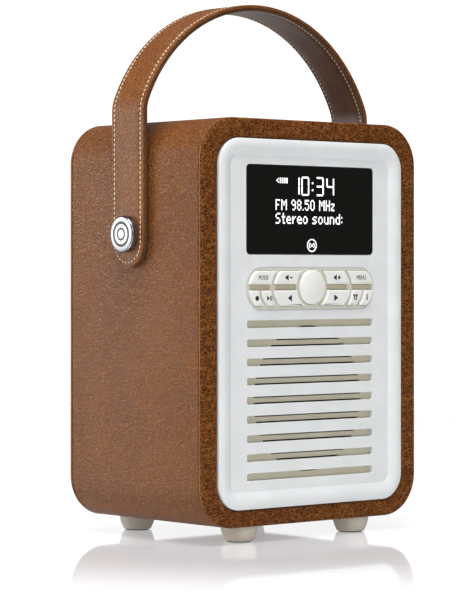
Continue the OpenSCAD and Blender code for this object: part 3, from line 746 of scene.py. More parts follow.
def key_loop(row, start, after, side, grow=0.0):
    """A key's outline. after is where the next key starts, or None beside the round key."""
    steps, corner = 14, 0.9 * MM
    low, high = row[0] - grow, row[1] + grow
    heights = [low + (high - low) * i / steps for i in range(steps + 1)]
    left = [(bulge_x(start, grow, z), z) for z in heights]
    if after is None:
        reach = select_r + select_gap - grow
        right = [(-math.sqrt(max(reach ** 2 - (z - select_up) ** 2, 0)), z) for z in heights]
    else:
        right = [(bulge_x(after, key_gap - grow, z), z) for z in heights]
    loop = soften(right + left[::-1], corner + grow)
    if side > 0:
        loop = [(-x, z) for x, z in reversed(loop)]
    return [(x, z + keypad_mid) for x, z in loop]


def soften(loop, radius):
    """Rounds the sharp corners of a loop, which bend by more than some degrees."""
    sharp_bend = 28
    made = []
    count = len(loop)
    for i, here in enumerate(loop):
        here = Vector(here)
        before, after = Vector(loop[i - 1]), Vector(loop[(i + 1) % count])
        one, two = (before - here), (after - here)
        bend = 180 - math.degrees(one.angle(two))
        if bend < sharp_bend:
            made.append(tuple(here))
            continue
        back = min(radius, one.length * 0.9)
        ahead = min(radius, two.length * 0.9)
        start, end = here + one.normalized() * back, here + two.normalized() * ahead
        for s in (0, 0.2, 0.4, 0.6, 0.8, 1):
            made.append(tuple(start * (1 - s) ** 2 + here * 2 * s * (1 - s) + end * s * s))
    return made


print("key outlines ready")

# %% [markdown]
# ## The keypad as a whole
#
# The whole keypad is a stadium, and four shallow recesses lie between its rows. The plan
# lists every key by its row, its two starts and its side.

# %% Keypad outlines
def stadium_loop(grow):
    return rounded_ring(keypad_w + 2 * grow, keypad_h + 2 * grow, keypad_r + grow - 0.01 * MM,
                        z=keypad_mid, per_corner=20)


def well_loops():
    """The recesses between the two rows, as four loops."""
    low, high = lower_row[1] + key_clear + 0.1 * MM, upper_row[0] - key_clear - 0.1 * MM
    spans = ((outer_from + 0.8 * MM, inner_from - 1.7 * MM),
             (inner_from + 1.5 * MM, -select_r - 1.6 * MM))
    return [rounded_ring(x1 - x0, high - low, 0.15 * MM, side * (x0 + x1) / 2,
                         keypad_mid + (low + high) / 2, per_corner=2)
            for x0, x1 in spans for side in (1, -1)]


key_plan = {
    "key_mode": (upper_row, outer_from, inner_from, -1),
    "key_volume_down": (upper_row, inner_from, None, -1),
    "key_volume_up": (upper_row, inner_from, None, 1),
    "key_menu": (upper_row, outer_from, inner_from, 1),
    "key_preset": (lower_row, outer_from, small_from, -1),
    "key_play": (lower_row, small_from, inner_from, -1),
    "key_previous": (lower_row, inner_from, None, -1),
    "key_next": (lower_row, inner_from, None, 1),
    "key_alarm": (lower_row, small_from, inner_from, 1),
    "key_info": (lower_row, outer_from, small_from, 1),
}
print("keys:", len(key_plan) + 1)

# %% [markdown]
# ## The white front
#
# The fascia is a picture frame round a flat panel. The frame's section is a low crown:
# it leaves the leather as a small edge, rises to its highest line near the outside and
# falls to the panel in a slope that ends in a crease. The panel is a plate with holes
# for the window, the keys and the nine slots, all with softened edges. The web between
# the keys is its own piece, coloured warm beige as painted shade round the keys.

# %% Fascia rim
slot_count = 9
slot_w, slot_h, slot_r = 74 * MM, 3.2 * MM, 0.8 * MM
lap_below, lap_above = 3 * MM, 2.6 * MM
slot_first = insert_low.z + lap_below + slot_h / 2
slot_last = insert_high.z - lap_above - slot_h / 2
slot_pitch = (slot_last - slot_first) / (slot_count - 1)
window_mid = (window_low.z + window_high.z) / 2
window_w, window_h, window_r = 74.6 * MM, 38.1 * MM, 2 * MM
groove = 0.5 * MM


def rim_ring(inset, y):
    return upright(rounded_ring(fascia_w - 2 * inset, fascia_h - 2 * inset, fascia_r - inset,
                                z=fascia_mid), y)


def fascia_rim():
    skirt = fascia_high.y
    wall, edge, start = 2 * MM, 0.35 * MM, 43
    rings = [rim_ring(wall, skirt), rim_ring(0, skirt)]
    drop = panel_sink * (1 - math.sin(math.radians(start)))
    rings += [rim_ring(edge * (1 - math.cos(math.radians(a))),
                       rim_y + drop + edge * (1 - math.sin(math.radians(a))))
              for a in (0, 25, 50)]
    for i in range(1, 29):
        share = i / 28
        angle = math.radians(start + (180 - start) * share)
        rings.append(rim_ring(rim_w * share, rim_y + panel_sink * (1 - math.sin(angle))))
    rings += [rim_ring(rim_w, panel_back), rim_ring(wall, panel_back)]
    return loft("fascia_rim", rings, closed=True)


print("slot pitch in mm:", round(slot_pitch / MM, 2))

# %% [markdown]
# ## The panel and the web
#
# The panel is one plate with eleven holes. The groove round the keypad has its own floor,
# and the web between the keys is two plates, so that the recesses have one too.

# %% Fascia panel and web
def front_fascia():
    lap = 0.3 * MM
    outline = rounded_ring(fascia_w - 2 * rim_w + 2 * lap, fascia_h - 2 * rim_w + 2 * lap,
                           fascia_r - rim_w + lap, z=fascia_mid)
    holes = [rounded_ring(window_w + 2 * key_clear, window_h + 2 * key_clear, window_r,
                          z=window_mid, per_corner=8), stadium_loop(groove)]
    for i in range(slot_count):
        holes.append(rounded_ring(slot_w, slot_h, slot_r, z=slot_first + i * slot_pitch,
                                  per_corner=5))
    panel = plate("panel", [outline] + holes, panel_y, panel_back, 0.2 * MM)
    web_holes = [key_loop(row, start, after, side, key_clear)
                 for row, start, after, side in key_plan.values()]
    web_holes.append(disc_loop(select_r + key_clear, 0, keypad_mid + select_up))
    well = panel_y + well_depth
    web = plate("web", [stadium_loop(0)] + web_holes + well_loops(), panel_y, well, 0.04 * MM, 1)
    web_floor = plate("web_floor", [stadium_loop(0)] + web_holes, well, panel_back, 0.04 * MM, 1)
    floor_of_groove = plate("groove_floor", [stadium_loop(1.6 * MM), stadium_loop(-0.05 * MM)],
                            panel_y + 0.45 * MM, panel_back, 0.02 * MM)
    new_piece("front_fascia", [fascia_rim(), panel, floor_of_groove], BODY, "white_plastic",
              ["fascia"], sharp=CRISP)
    # the web's beige is painted shade round the keys
    new_piece("key_web", [web, web_floor], BODY, "cream_plastic", material=inks["web"])


front_fascia()
print("fascia made")

# %% [markdown]
# Between the two rows of keys the tan mat shows as four flat bars, each at the floor of
# its own shallow recess.

# %% Bars between the key rows
def row_bars():
    plates = [plate("bar", [loop], panel_y + well_depth - 0.08 * MM,
                    panel_y + well_depth + 0.3 * MM, 0.03 * MM, 1) for loop in well_loops()]
    new_piece("key_row_bars", plates, BODY, "mat_rubber")


row_bars()
print("bars between the rows:", len(well_loops()))

# %% [markdown]
# ## Keys
#
# Each key is a plate cut to its own outline with a generous round on its edge, so that
# it catches light along the top and shades underneath. The round key is turned on a
# lathe as a low dome. Key caps move, so each one rides its own body.

# %% Key caps
def key_caps():
    for node, (row, start, after, side) in key_plan.items():
        low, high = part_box(node)
        loop = key_loop(row, start, after, side)
        mesh = plate(node + "_top", [loop], low[1], high[1], 0.75 * MM, 6)
        new_piece(node + "_top", mesh, node + "_cap", "key_plastic", [node])


key_caps()
print("key caps:", len(key_plan))

# %% [markdown]
# ## The round key
#
# The round key could be a flattened sphere. A lathe profile is better here, because the
# real one has an upright wall, a small round edge and only then a low dome.

# %% The round key
def select_dome():
    low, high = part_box("select_button")
    centre = (0, 0, keypad_mid + select_up)
    depth = high[1] - low[1]
    dome, edge = 0.9 * MM, 1.3 * MM
    profile = [(on_axis, 0), (select_r - 0.4 * MM, 0), (select_r, 0.3 * MM)]
    profile += arc_profile(select_r - edge, depth - dome - edge + 0.25 * MM, edge, 0, 62, 7)
    last_r, last_h = profile[-1]
    for i in range(1, 13):
        r = last_r * (1 - i / 12)
        profile.append((max(r, 0.001 * MM), last_h + (depth - last_h) * (1 - (r / last_r) ** 2)))
    mesh = turned("select_dome", profile, (0, high[1], centre[2]), FORWARD, 72)
    new_piece("select_dome", mesh, "select_button_cap", "key_plastic", ["select_button"])


select_dome()
print("round key made")

# %% [markdown]
# ## Printed symbols
#
# On the real keys the symbols are printed. An image would do that, but flat prisms a few
# hundredths of a millimetre thick stay sharp from any distance. Words are made from
# Blender's own font. Pictures are a few loops each, drawn in millimetres round the
# middle of the key.

# %% Words and pictures
print_t = 0.06 * MM
letter_h, word_w = 2.7 * MM, 5.6 * MM


def flat_prism(loops, y):
    return plate("print", loops, y - print_t, y + print_t, 0.01 * MM, 0)


def word(text, y, x, z):
    """A word facing the front, centred on x and z, squeezed to its width."""
    curve = bpy.data.curves.new(text, "FONT")
    curve.body = text
    curve.size = letter_h
    curve.extrude = print_t
    curve.resolution_u = 3
    mesh = stand_up(text, curve, y)
    xs = [v.co.x for v in mesh.vertices]
    zs = [v.co.z for v in mesh.vertices]
    x_mid, z_mid = (min(xs) + max(xs)) / 2, (min(zs) + max(zs)) / 2
    squeeze = word_w / (max(xs) - min(xs))
    for v in mesh.vertices:
        v.co = Vector(((v.co.x - x_mid) * squeeze + x, v.co.y, v.co.z - z_mid + z))
    return mesh


def arrow_loop(x, w, h, way):
    """A triangle that points right when way is 1 and left when it is -1."""
    return [(x - way * w / 2, -h / 2), (x + way * w / 2, 0), (x - way * w / 2, h / 2)]


def in_place(loop, x, z):
    """A loop drawn in millimetres, moved to its place."""
    return [(x + a * MM, z + b * MM) for a, b in loop]


print("printing helpers ready")

# %% [markdown]
# The alarm clock is a ring with a hand and two bells. In the plus, the upright bar
# stands a hair higher than the level one, so that no two faces lie in one plane.

# %% Symbols on the keys
WORDS = {"key_mode": ("MODE", -0.3 * MM), "key_menu": ("MENU", 0.3 * MM)}
SPEAKER = [(-1.9, -0.6), (-1.2, -0.6), (-0.2, -1.35), (-0.2, 1.35), (-1.2, 0.6), (-1.9, 0.6)]
LEVEL, UPRIGHT = box_loop(1.3, 0, 1.7, 0.55), box_loop(1.3, 0, 0.55, 1.7)
PICTURES = {
    "key_volume_down": ([SPEAKER], [LEVEL]),
    "key_volume_up": ([SPEAKER], [LEVEL], [UPRIGHT]),
    "key_preset": ([disc_loop(1.05, 0, 0, 24)],),
    "key_play": ([arrow_loop(-0.6, 1.6, 2.1, 1)], [box_loop(0.6, 0, 0.4, 2.1)],
                 [box_loop(1.3, 0, 0.4, 2.1)]),
    "key_previous": ([arrow_loop(0, 2.4, 2.9, -1)],),
    "key_next": ([arrow_loop(0, 2.4, 2.9, 1)],),
    "key_alarm": ([disc_loop(1.05, 0, 0, 24), disc_loop(0.6, 0, 0, 24)],
                  [disc_loop(0.5, -0.9, 1.1, 16)], [disc_loop(0.5, 0.9, 1.1, 16)],
                  [box_loop(0, 0.2, 0.22, 0.6)]),
    "key_info": ([box_loop(0, -0.35, 0.6, 1.6)], [disc_loop(0.4, 0, 1.1, 16)]),
}
hair = 0.01 * MM


def key_symbol(node):
    loop = key_loop(*key_plan[node])
    x = (min(p[0] for p in loop) + max(p[0] for p in loop)) / 2
    z = (min(p[1] for p in loop) + max(p[1] for p in loop)) / 2
    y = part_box(node)[0][1]
    if node in WORDS:
        text, aside = WORDS[node]
        parts = [word(text, y, x + aside, z)]
    else:
        parts = [flat_prism([in_place(loop, x, z) for loop in loops],
                            y - hair if loops == [UPRIGHT] else y) for loops in PICTURES[node]]
    new_piece(node + "_symbol", parts, node + "_cap", "dark_plastic", material=inks["ink_and_shade"])


for key_node in (*WORDS, *PICTURES):
    key_symbol(key_node)
print("symbols:", len(WORDS) + len(PICTURES))

# %% [markdown]
# ## The display
#
# The window is a slab of black gloss with a lip behind the panel. It could be a sheet of
# clear glass over a lit screen, but when it is off or dim the real one looks black right
# to its face, and one dark slab shows that without a second layer.

# %% Display window
def display_window():
    face = rounded_ring(window_w, window_h, window_r, z=window_mid, per_corner=8)
    flange = rounded_ring(window_high.x - window_low.x, window_high.z - window_low.z, window_r,
                          z=window_mid, per_corner=8)
    front = plate("window_front", [face], window_low.y, panel_back, 0.25 * MM, 4)
    lip = plate("window_lip", [flange], panel_back, window_high.y, 0.1 * MM, 1)
    new_piece("display_glass", [front, lip], BODY, "window_black", ["display_window"])


display_window()
print("display window made")

# %% [markdown]
# ## The readout
#
# The readout glows on the window's face: a clock of seven-bar digits, two lines of
# dotted letters, a battery and a small broadcast sign. Every letter is seven rows of
# dots, and a run of lit dots in a row becomes one box. Everything is in millimetres
# from the middle of the window.

# %% Digits and letters
SEGMENTS = {"0": "abcdef", "1": "bc", "3": "abcdg", "4": "bcfg"}
LETTERS = {
    "F": "1111 1000 1000 1110 1000 1000 1000", "M": "10001 11011 10101 10101 10001 10001 10001",
    "H": "1001 1001 1001 1111 1001 1001 1001", "z": "000 000 111 001 010 100 111",
    "S": "0111 1000 1000 0110 0001 0001 1110", "t": "010 010 111 010 010 010 011",
    "e": "0000 0000 0110 1001 1111 1000 0111", "r": "000 000 101 110 100 100 100",
    "o": "0000 0000 0110 1001 1001 1001 0110", "u": "0000 0000 1001 1001 1001 1001 0111",
    "n": "0000 0000 1110 1001 1001 1001 1001", "d": "0001 0001 0111 1001 1001 1001 0111",
    "9": "0110 1001 1001 0111 0001 0001 0110", "8": "0110 1001 1001 0110 1001 1001 0110",
    "5": "1111 1000 1110 0001 0001 1001 0110", "0": "0110 1001 1001 1001 1001 1001 0110",
    "s": "0000 0000 0111 1000 0110 0001 1110", ".": "0 0 0 0 0 0 1",
    ":": "0 0 1 0 0 1 0", " ": "00 00 00 00 00 00 00",
}
dot_rows = 7
dot_tall, dot_apart = 0.96, 0.22


def seven_bar(digit, x, z, w, h, bar):
    """Loops of a seven-bar digit whose lower left corner is at x, z."""
    cut = 0.2 * bar
    wide, tall = w - bar - 2 * cut, (h - bar) / 2 - 2 * cut
    up, down = z + h * 0.75 - bar * 0.25, z + h * 0.25 + bar * 0.25
    spots = {
        "a": (x + w / 2, z + h - bar / 2, wide, bar), "g": (x + w / 2, z + h / 2, wide, bar),
        "d": (x + w / 2, z + bar / 2, wide, bar),
        "f": (x + bar / 2, up, bar, tall), "b": (x + w - bar / 2, up, bar, tall),
        "e": (x + bar / 2, down, bar, tall), "c": (x + w - bar / 2, down, bar, tall),
    }
    return [box_loop(*spots[name]) for name in SEGMENTS[digit]]


def dot_line(text, left, low, width, high):
    """Loops of a line of dotted letters, each run of touching dots as one box."""
    columns = sum(len(LETTERS[c].split()[0]) + 1 for c in text) - 1
    dot_w, dot_h = width / columns, high / dot_rows
    loops, at = [], left
    for c in text:
        rows = LETTERS[c].split()
        for up, row in enumerate(reversed(rows)):
            start = None
            for i, dot in enumerate(row + "0"):
                if dot == "1" and start is None:
                    start = i
                elif dot == "0" and start is not None:
                    loops.append(box_loop(at + (start + i) / 2 * dot_w, low + (up + 0.5) * dot_h,
                                          (i - start - dot_apart) * dot_w, dot_h * dot_tall))
                    start = None
        at += (len(rows[0]) + 1) * dot_w
    return loops


print("letters:", len(LETTERS))

# %% [markdown]
# The battery is an arrow head with four bars. The broadcast sign is a dot between two
# arcs, in a ring.

# %% Readout
def battery_loops(x, z, tall):
    head = [[(x - 3.4, z), (x - 1.7, z + way * tall), (x - 1.7, z + way * (tall - 0.4)),
             (x - 2.7, z)] for way in (-1, 1)]
    return head + [box_loop(x + i * 1.25 - 0.9, z, 0.7, 2 * tall) for i in range(4)]


def broadcast_arcs(x, z):
    outer, inner = arc_profile(0, z, 1.6, -50, 50, 8), arc_profile(0, z, 1.2, 50, -50, 8)
    return [[(x + side * a, b) for a, b in outer + inner] for side in (-1, 1)]


def readout():
    clock_low, line_left, line_h = 6.3, -20.6, 4.6
    sign_x, sign_z = 0.6, -15.1
    colon = [box_loop(1.0, clock_low + up, 0.8, 0.8) for up in (2.5, 5.5)]
    lit = [bar for digit, x in (("1", -11.2), ("0", -5.6), ("3", 3.0), ("4", 9.2))
           for bar in seven_bar(digit, x, clock_low, 4.6, 8.2, 0.72)]
    lit += colon + battery_loops(-16.9, clock_low + 6.3, 1.15)
    lit += dot_line("FM 98.50 MHz", line_left, -0.1, 34.6, line_h)
    lit += dot_line("Stereo sound:", line_left, -5.9, 39.4, line_h)
    lit += [disc_loop(0.6, sign_x, sign_z, 40)] + broadcast_arcs(sign_x, sign_z)
    ring = [disc_loop(2.8, sign_x, sign_z, 40), disc_loop(2.35, sign_x, sign_z, 40)]
    shapes = [[loop] for loop in lit] + [ring]
    parts = [flat_prism([in_place(loop, 0, window_mid) for loop in shape], window_low.y)
             for shape in shapes]
    new_piece("display_readout", parts, BODY, "white_plastic", material=inks["glow"])
    print("lit shapes:", len(shapes))


readout()

# %% [markdown]
# ## The strap
#
# The strap follows one path: up a straight leg, round a tight shoulder, over the arch
# and down again. `strap_point` gives any spot on it from three numbers: how far along,
# how far across and how far above the outer face. The two layers and every stitch are
# placed with it, so they always agree.

# %% Strap path
strap_low, strap_high = corners("handle_strap")
strap_x = strap_high.x
strap_w = strap_high.y - strap_low.y
strap_t = strap_high.x - corners("handle_lining")[1].x
lining_t = 1.1 * MM
arch_r, shoulder_r = 71 * MM, 15 * MM
arch_z = strap_high.z - arch_r
shoulder_angle = math.acos((strap_x - shoulder_r) / (arch_r - shoulder_r))
shoulder_z = arch_z + (arch_r - shoulder_r) * math.sin(shoulder_angle)
leg_len = shoulder_z - strap_low.z
bend_len = shoulder_r * shoulder_angle
arch_len = arch_r * (math.pi - 2 * shoulder_angle)
strap_len = 2 * leg_len + 2 * bend_len + arch_len


def strap_spot(s):
    """The outer face's (x, z) and its outward direction, s metres from the right tip."""
    mirrored = s > strap_len / 2
    d = strap_len - s if mirrored else s
    if d <= leg_len:
        x, z, angle = strap_x, strap_low.z + d, 0.0
    elif d <= leg_len + bend_len:
        angle = (d - leg_len) / shoulder_r
        x = strap_x - shoulder_r + shoulder_r * math.cos(angle)
        z = shoulder_z + shoulder_r * math.sin(angle)
    else:
        angle = shoulder_angle + (d - leg_len - bend_len) / arch_r
        x, z = arch_r * math.cos(angle), arch_z + arch_r * math.sin(angle)
    out = (math.cos(angle), math.sin(angle))
    return ((-x, z), (-out[0], out[1])) if mirrored else ((x, z), out)


def strap_point(s, y, lift):
    (x, z), (nx, nz) = strap_spot(s)
    return Vector((x + nx * lift, y, z + nz * lift))


print("strap length in mm:", round(strap_len / MM, 1))

# %% [markdown]
# ## The strap's two layers
#
# Each layer is one loft along the path. Its section has rounded edges and a shallow
# channel for the stitches, and it narrows to a half circle at both tips. Stations lie
# close together at the tips, where the width changes fastest.

# %% Strap layers
channel_in = 2.0 * MM


def strap_stations():
    """Places along the strap: close together at the round tips and the bends."""
    tip = strap_w / 2
    ends = [tip * (1 - math.cos(math.radians(a))) for a in range(2, 90, 4)]
    middle_part = [tip + (strap_len - 2 * tip) * i / 150 for i in range(151)]
    return ends + middle_part + [strap_len - e for e in reversed(ends)]


def strap_section(half, top, bottom, puff, channel):
    """(across, lift) points round the strap's section, with a stitch channel."""
    r = min(0.55 * MM, (top - bottom) / 2.2, half * 0.4)
    upper = arc_profile(half - r, top - r, r, 0, 90, 4)
    lower = arc_profile(half - r, bottom + r, r, -90, 0, 4)
    c = half - channel_in
    face = []
    if c > 1.5 * MM:
        face = [(c + 0.7 * MM, top), (c + 0.3 * MM, top - channel), (c - 0.3 * MM, top - channel),
                (c - 0.7 * MM, top)]
        face += [(c * 0.6, top + puff), (c * 0.3, top + puff)]
    else:
        face = [(half * k, top) for k in (0.8, 0.7, 0.6, 0.5, 0.35, 0.2)]
    right = lower + upper + face
    left = [(-a, b) for a, b in reversed(right)]
    return right + left


def strap_layer(name, node, slot, top, bottom, narrow, puff, channel, flip=False):
    rings = []
    tip = strap_w / 2
    for s in strap_stations():
        near = min(s, strap_len - s)
        half = tip if near >= tip else math.sqrt(tip ** 2 - (tip - near) ** 2)
        section = strap_section(max(half - narrow, 0.2 * MM), top, bottom, puff, channel)
        if flip:
            section = [(a, top + bottom - b) for a, b in section]
        rings.append([strap_point(s, a, b) for a, b in section])
    mesh = loft(name, rings, caps=True)
    new_piece(name, mesh, "handle", slot, [node], sharp=50)


strap_layer("strap_outer", "handle_strap", "strap_leather", 0.0, -strap_t, 0.0, 0.0, 0.22 * MM)
strap_layer("strap_inner", "handle_lining", "strap_lining", -strap_t, -strap_t - lining_t,
            0.25 * MM, 0.0, 0.15 * MM, flip=True)
print("strap stations:", len(strap_stations()))

# %% [markdown]
# The stitching runs once round the whole strap, two millimetres in from the edge. We
# walk that loop at an even pitch and lay a short capsule along each step, first on the
# outer face and then on the lining.

# %% Stitch track
stitch_pitch, stitch_len, stitch_r = 2.1 * MM, 1.5 * MM, 0.26 * MM
stitch_sunk = 0.10 * MM
thread_sides = 6


def stitch_track():
    """(s, y) round the strap's edge, channel_in from it, every stitch_pitch."""
    r = strap_w / 2 - channel_in
    straight = strap_len - strap_w
    half_turn = math.pi * r
    total = 2 * straight + 2 * half_turn
    count = round(total / stitch_pitch)

    def spot(d):
        d = d % total
        if d < straight:
            return strap_w / 2 + d, r
        d -= straight
        if d < half_turn:
            a = d / r
            return strap_len - strap_w / 2 + r * math.sin(a), r * math.cos(a)
        d -= half_turn
        if d < straight:
            return strap_len - strap_w / 2 - d, -r
        a = (d - straight) / r
        return strap_w / 2 - r * math.sin(a), -r * math.cos(a)

    step = total / count
    half = stitch_len / 2
    return [(spot(i * step - half), spot(i * step + half)) for i in range(count)]


print("stitches on each face:", len(stitch_track()))

# %% [markdown]
# ## The stitches
#
# A stitch is six small rings of thread. It could be a curve with a bevel, but hundreds of
# curves are heavy, and one mesh of simple rings is light and easy to place.

# %% Stitches
def capsule(start, end, up):
    """Rings of one stitch: a thread pressed a little flat, which dips at both ends."""
    flatness = 1.25
    along = (end - start).normalized()
    side = along.cross(up).normalized()
    rings = []
    for share, size in ((0, 0.25), (0.08, 0.7), (0.3, 1.0), (0.7, 1.0), (0.92, 0.7), (1, 0.25)):
        centre = start.lerp(end, share) - up * stitch_r * (1.0 - size) * 0.9
        turns = [k * 2 * math.pi / thread_sides for k in range(thread_sides)]
        rings.append([centre + side * stitch_r * flatness * size * math.cos(turn)
                      + up * stitch_r * size * math.sin(turn) for turn in turns])
    return rings


def stitching():
    verts, faces = [], []
    for lift, flip in ((0.0, 1), (-strap_t - lining_t, -1)):
        for (s0, y0), (s1, y1) in stitch_track():
            nx, nz = strap_spot((s0 + s1) / 2)[1]
            up = Vector((nx, 0, nz)) * flip
            height = lift - flip * stitch_sunk
            rings = capsule(strap_point(s0, y0, height), strap_point(s1, y1, height), up)
            first = len(verts)
            for ring in rings:
                verts += ring
            last = len(verts) - thread_sides
            for near in range(first, last, thread_sides):
                far = near + thread_sides
                for k in range(thread_sides):
                    j = (k + 1) % thread_sides
                    faces.append((near + k, near + j, far + j, far + k))
            faces.append(tuple(first + k for k in reversed(range(thread_sides))))
            faces.append(tuple(last + k for k in range(thread_sides)))
    mesh = bpy.data.meshes.new("strap_stitching")
    mesh.from_pydata(verts, [], faces)
    mesh.validate()
    print("stitch points:", len(verts))
    new_piece("strap_stitching", mesh, "handle", "cream_plastic", material=inks["thread"])


stitching()

# %% [markdown]
# ## Studs
#
# A stud is a turned cap with a rolled edge. Two plain rings are cut into its face, and
# a black ring in each is painted shade for the groove: a separate piece that stops just below the
# metal.

# %% Studs
def strap_stud(name, node, side):
    low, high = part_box(node)
    r = (high[1] - low[1]) / 2
    h = high[0] - low[0]
    edge, cut = 0.8 * MM, 0.35 * MM
    profile = [(on_axis, 0), (r - 0.3 * MM, 0), (r, 0.3 * MM)]
    profile += arc_profile(r - edge, h - edge - 0.1 * MM, edge, 0, 80, 7)
    grooves = ((r * 0.55, 1.3 * MM), (r * 0.24, 1.0 * MM))
    for ring_r, ring_w in grooves:
        profile += [(ring_r + ring_w, h), (ring_r + ring_w * 0.9, h - cut),
                    (ring_r + ring_w * 0.1, h - cut), (ring_r, h)]
    profile.append((on_axis, h))
    seat = (low[0] if side > 0 else high[0], middle(node).y, middle(node).z)
    mesh = turned(name, profile, seat, (side, 0, 0), 80)
    new_piece(name, mesh, "handle", "stud_metal", [node], sharp=30)
    rings = []
    for ring_r, ring_w in grooves:
        ring = [(ring_r + 0.05 * ring_w, h - cut), (ring_r + 0.05 * ring_w, h - 0.15 * cut),
                (ring_r + 0.95 * ring_w, h - 0.15 * cut), (ring_r + 0.95 * ring_w, h - cut)]
        rings.append(turned("ring", ring, seat, (side, 0, 0), 80, hollow=True))
    # black rings in the grooves: painted shade
    new_piece(name + "_groove_shade", rings, "handle", "dark_plastic", material=inks["ink_and_shade"])


strap_stud("strap_stud_left", "stud_left", -1)
strap_stud("strap_stud_right", "stud_right", 1)
print("studs made")

# %% [markdown]
# ## Feet
#
# A foot is turned as well. It tapers towards the table with a slight belly, and stops
# just above its rubber pad, so the pad is what touches the table.

# %% Feet
def tapered_foot(node):
    low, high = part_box(node)
    top_r = (high[0] - low[0]) / 2
    low_r, belly = 6.2 * MM, 0.25 * MM
    h = high[2] - low[2]
    edge, flank = 0.5 * MM, h - 1.8 * MM
    profile = [(on_axis, 0), (low_r - edge, 0)]
    profile += arc_profile(low_r - edge, edge, edge, -75, -15, 4)
    profile += [(low_r + (top_r - low_r) * up + belly * math.sin(math.pi * up), edge + flank * up)
                for up in (0.15, 0.35, 0.55, 0.75, 0.92)]
    profile += [(top_r, h - 0.8 * MM), (top_r, h - 0.1 * MM), (top_r - 0.2 * MM, h), (on_axis, h)]
    centre = middle(node)
    mesh = turned(node + "_cone", profile, (centre.x, centre.y, low[2]), UPWARD, 64)
    new_piece(node + "_cone", mesh, BODY, "foot_plastic", [node])


for foot_node in ("foot_front_left", "foot_front_right", "foot_back_left", "foot_back_right"):
    tapered_foot(foot_node)
print("feet made")

# %% [markdown]
# ## The rear cover
#
# The cover is a plate with soft edges and a hole for everything that sits in it. The
# folded antenna lies in a trough, which is a rounded box open to the rear, and the
# battery door rests on a ledge a little way in.

# %% Rear cover
rear_low, rear_high = corners("rear_cover")
door_low, door_high = corners("battery_door")
rear_face = door_high.y
rear_t = 3 * MM
jack_nodes = ("dc_inlet", "headphone_socket", "line_socket")
jack_z = middle("power_button").z
vent_w, vent_h, vent_pitch, vent_count = 50 * MM, 2.4 * MM, 6 * MM, 5
vent_first = jack_z + 28 * MM
tube_x, tube_y = middle("antenna_outer").x, middle("antenna_outer").y
trough_half, trough_wall = 3.8 * MM, 1.6 * MM
hinge_room, full_pull, end_room = 3.9 * MM, 66 * MM, 1.7 * MM
trough_top = corners("antenna_base")[1].z + hinge_room
trough_low = corners("antenna_inner")[0].z - full_pull - end_room
trough_floor = rear_face - 6 * MM


def box_ring(low, high, grow, r, steps=6):
    """A rounded loop round a box's outline, grown by some distance."""
    return rounded_ring(high[0] - low[0] + 2 * grow, high[2] - low[2] + 2 * grow, r + grow,
                        (low[0] + high[0]) / 2, (low[2] + high[2]) / 2, steps)


def rear_panel():
    inner = rear_face - rear_t
    door_r, ledge = 3 * MM, 2.5 * MM
    trough = ((tube_x - trough_half, 0, trough_low), (tube_x + trough_half, 0, trough_top))
    outline = rounded_ring(rear_high.x - rear_low.x, rear_high.z - rear_low.z,
                           fascia_r - gap, z=fascia_mid)
    holes = [box_ring(door_low, door_high, 0.3 * MM, door_r), box_ring(*trough, 0, 1.5 * MM)]
    holes += [rounded_ring(vent_w, vent_h, vent_h / 2 - 0.02 * MM, middle("battery_door").x,
                           vent_first + i * vent_pitch, 6) for i in range(vent_count)]
    holes += [disc_loop(4.1 * MM, middle(node).x, jack_z, 40) for node in jack_nodes]
    holes.append(disc_loop(6.3 * MM, middle("power_button").x, jack_z, 48))
    sheet = plate("sheet", [outline] + holes, inner, rear_face, 0.3 * MM)
    rest = plate("rest", [box_ring(door_low, door_high, 1.5 * MM, door_r),
                          box_ring(door_low, door_high, -ledge, door_r)],
                 inner - 0.02 * MM, door_low.y - 0.3 * MM, 0.1 * MM, 1)
    wall = [upright(box_ring(*trough, grow, 1.5 * MM), y) for grow, y in
            ((0, rear_face - 0.5 * MM), (0, trough_floor), (trough_wall, trough_floor),
             (trough_wall, rear_face - 0.5 * MM))]
    floor = plate("trough_floor", [box_ring(*trough, 0.5 * MM, 1.5 * MM)],
                  trough_floor - trough_wall, trough_floor, 0.1 * MM, 1)
    new_piece("rear_panel", [sheet, rest, loft("wall", wall, closed=True), floor], BODY,
              "white_plastic", ["rear_cover"], sharp=CRISP)


rear_panel()
print("rear cover made")

# %% [markdown]
# ## The battery door
#
# The door is a plate with a thumb grip: a hole in the plate and a turned dish behind it.

# %% Battery door
def door_panel():
    grip_r, grip_depth = 5 * MM, 0.8 * MM
    grip = (middle("battery_door").x, door_high.z - 7 * MM)
    sheet = plate("sheet", [box_ring(door_low, door_high, 0, 3 * MM), disc_loop(grip_r, *grip, 48)],
                  door_low.y, door_high.y, 0.3 * MM)
    bowl = [(grip_r + 0.2 * MM, -0.3 * MM), (grip_r - 0.1 * MM, -0.5 * MM),
            (grip_r * 0.8, -grip_depth), (grip_r * 0.4, -grip_depth - 0.25 * MM),
            (on_axis, -grip_depth - 0.3 * MM), (on_axis, -1.8 * MM),
            (grip_r + 0.2 * MM, -1.8 * MM)]
    dish = turned("dish", bowl, (grip[0], door_high.y, grip[1]), BACKWARD, 48, hollow=True)
    new_piece("door_panel", [sheet, dish], "battery_cover", "white_plastic", ["battery_door"],
              sharp=CRISP)


door_panel()
print("battery door made")

# %% [markdown]
# ## The sockets
#
# A socket is a turned collar with a funnel at its mouth and a bright contact ring
# inside, and the power inlet has a pin too. A plain hole would look black from the
# rear, but a glint of metal in it says what it is for.

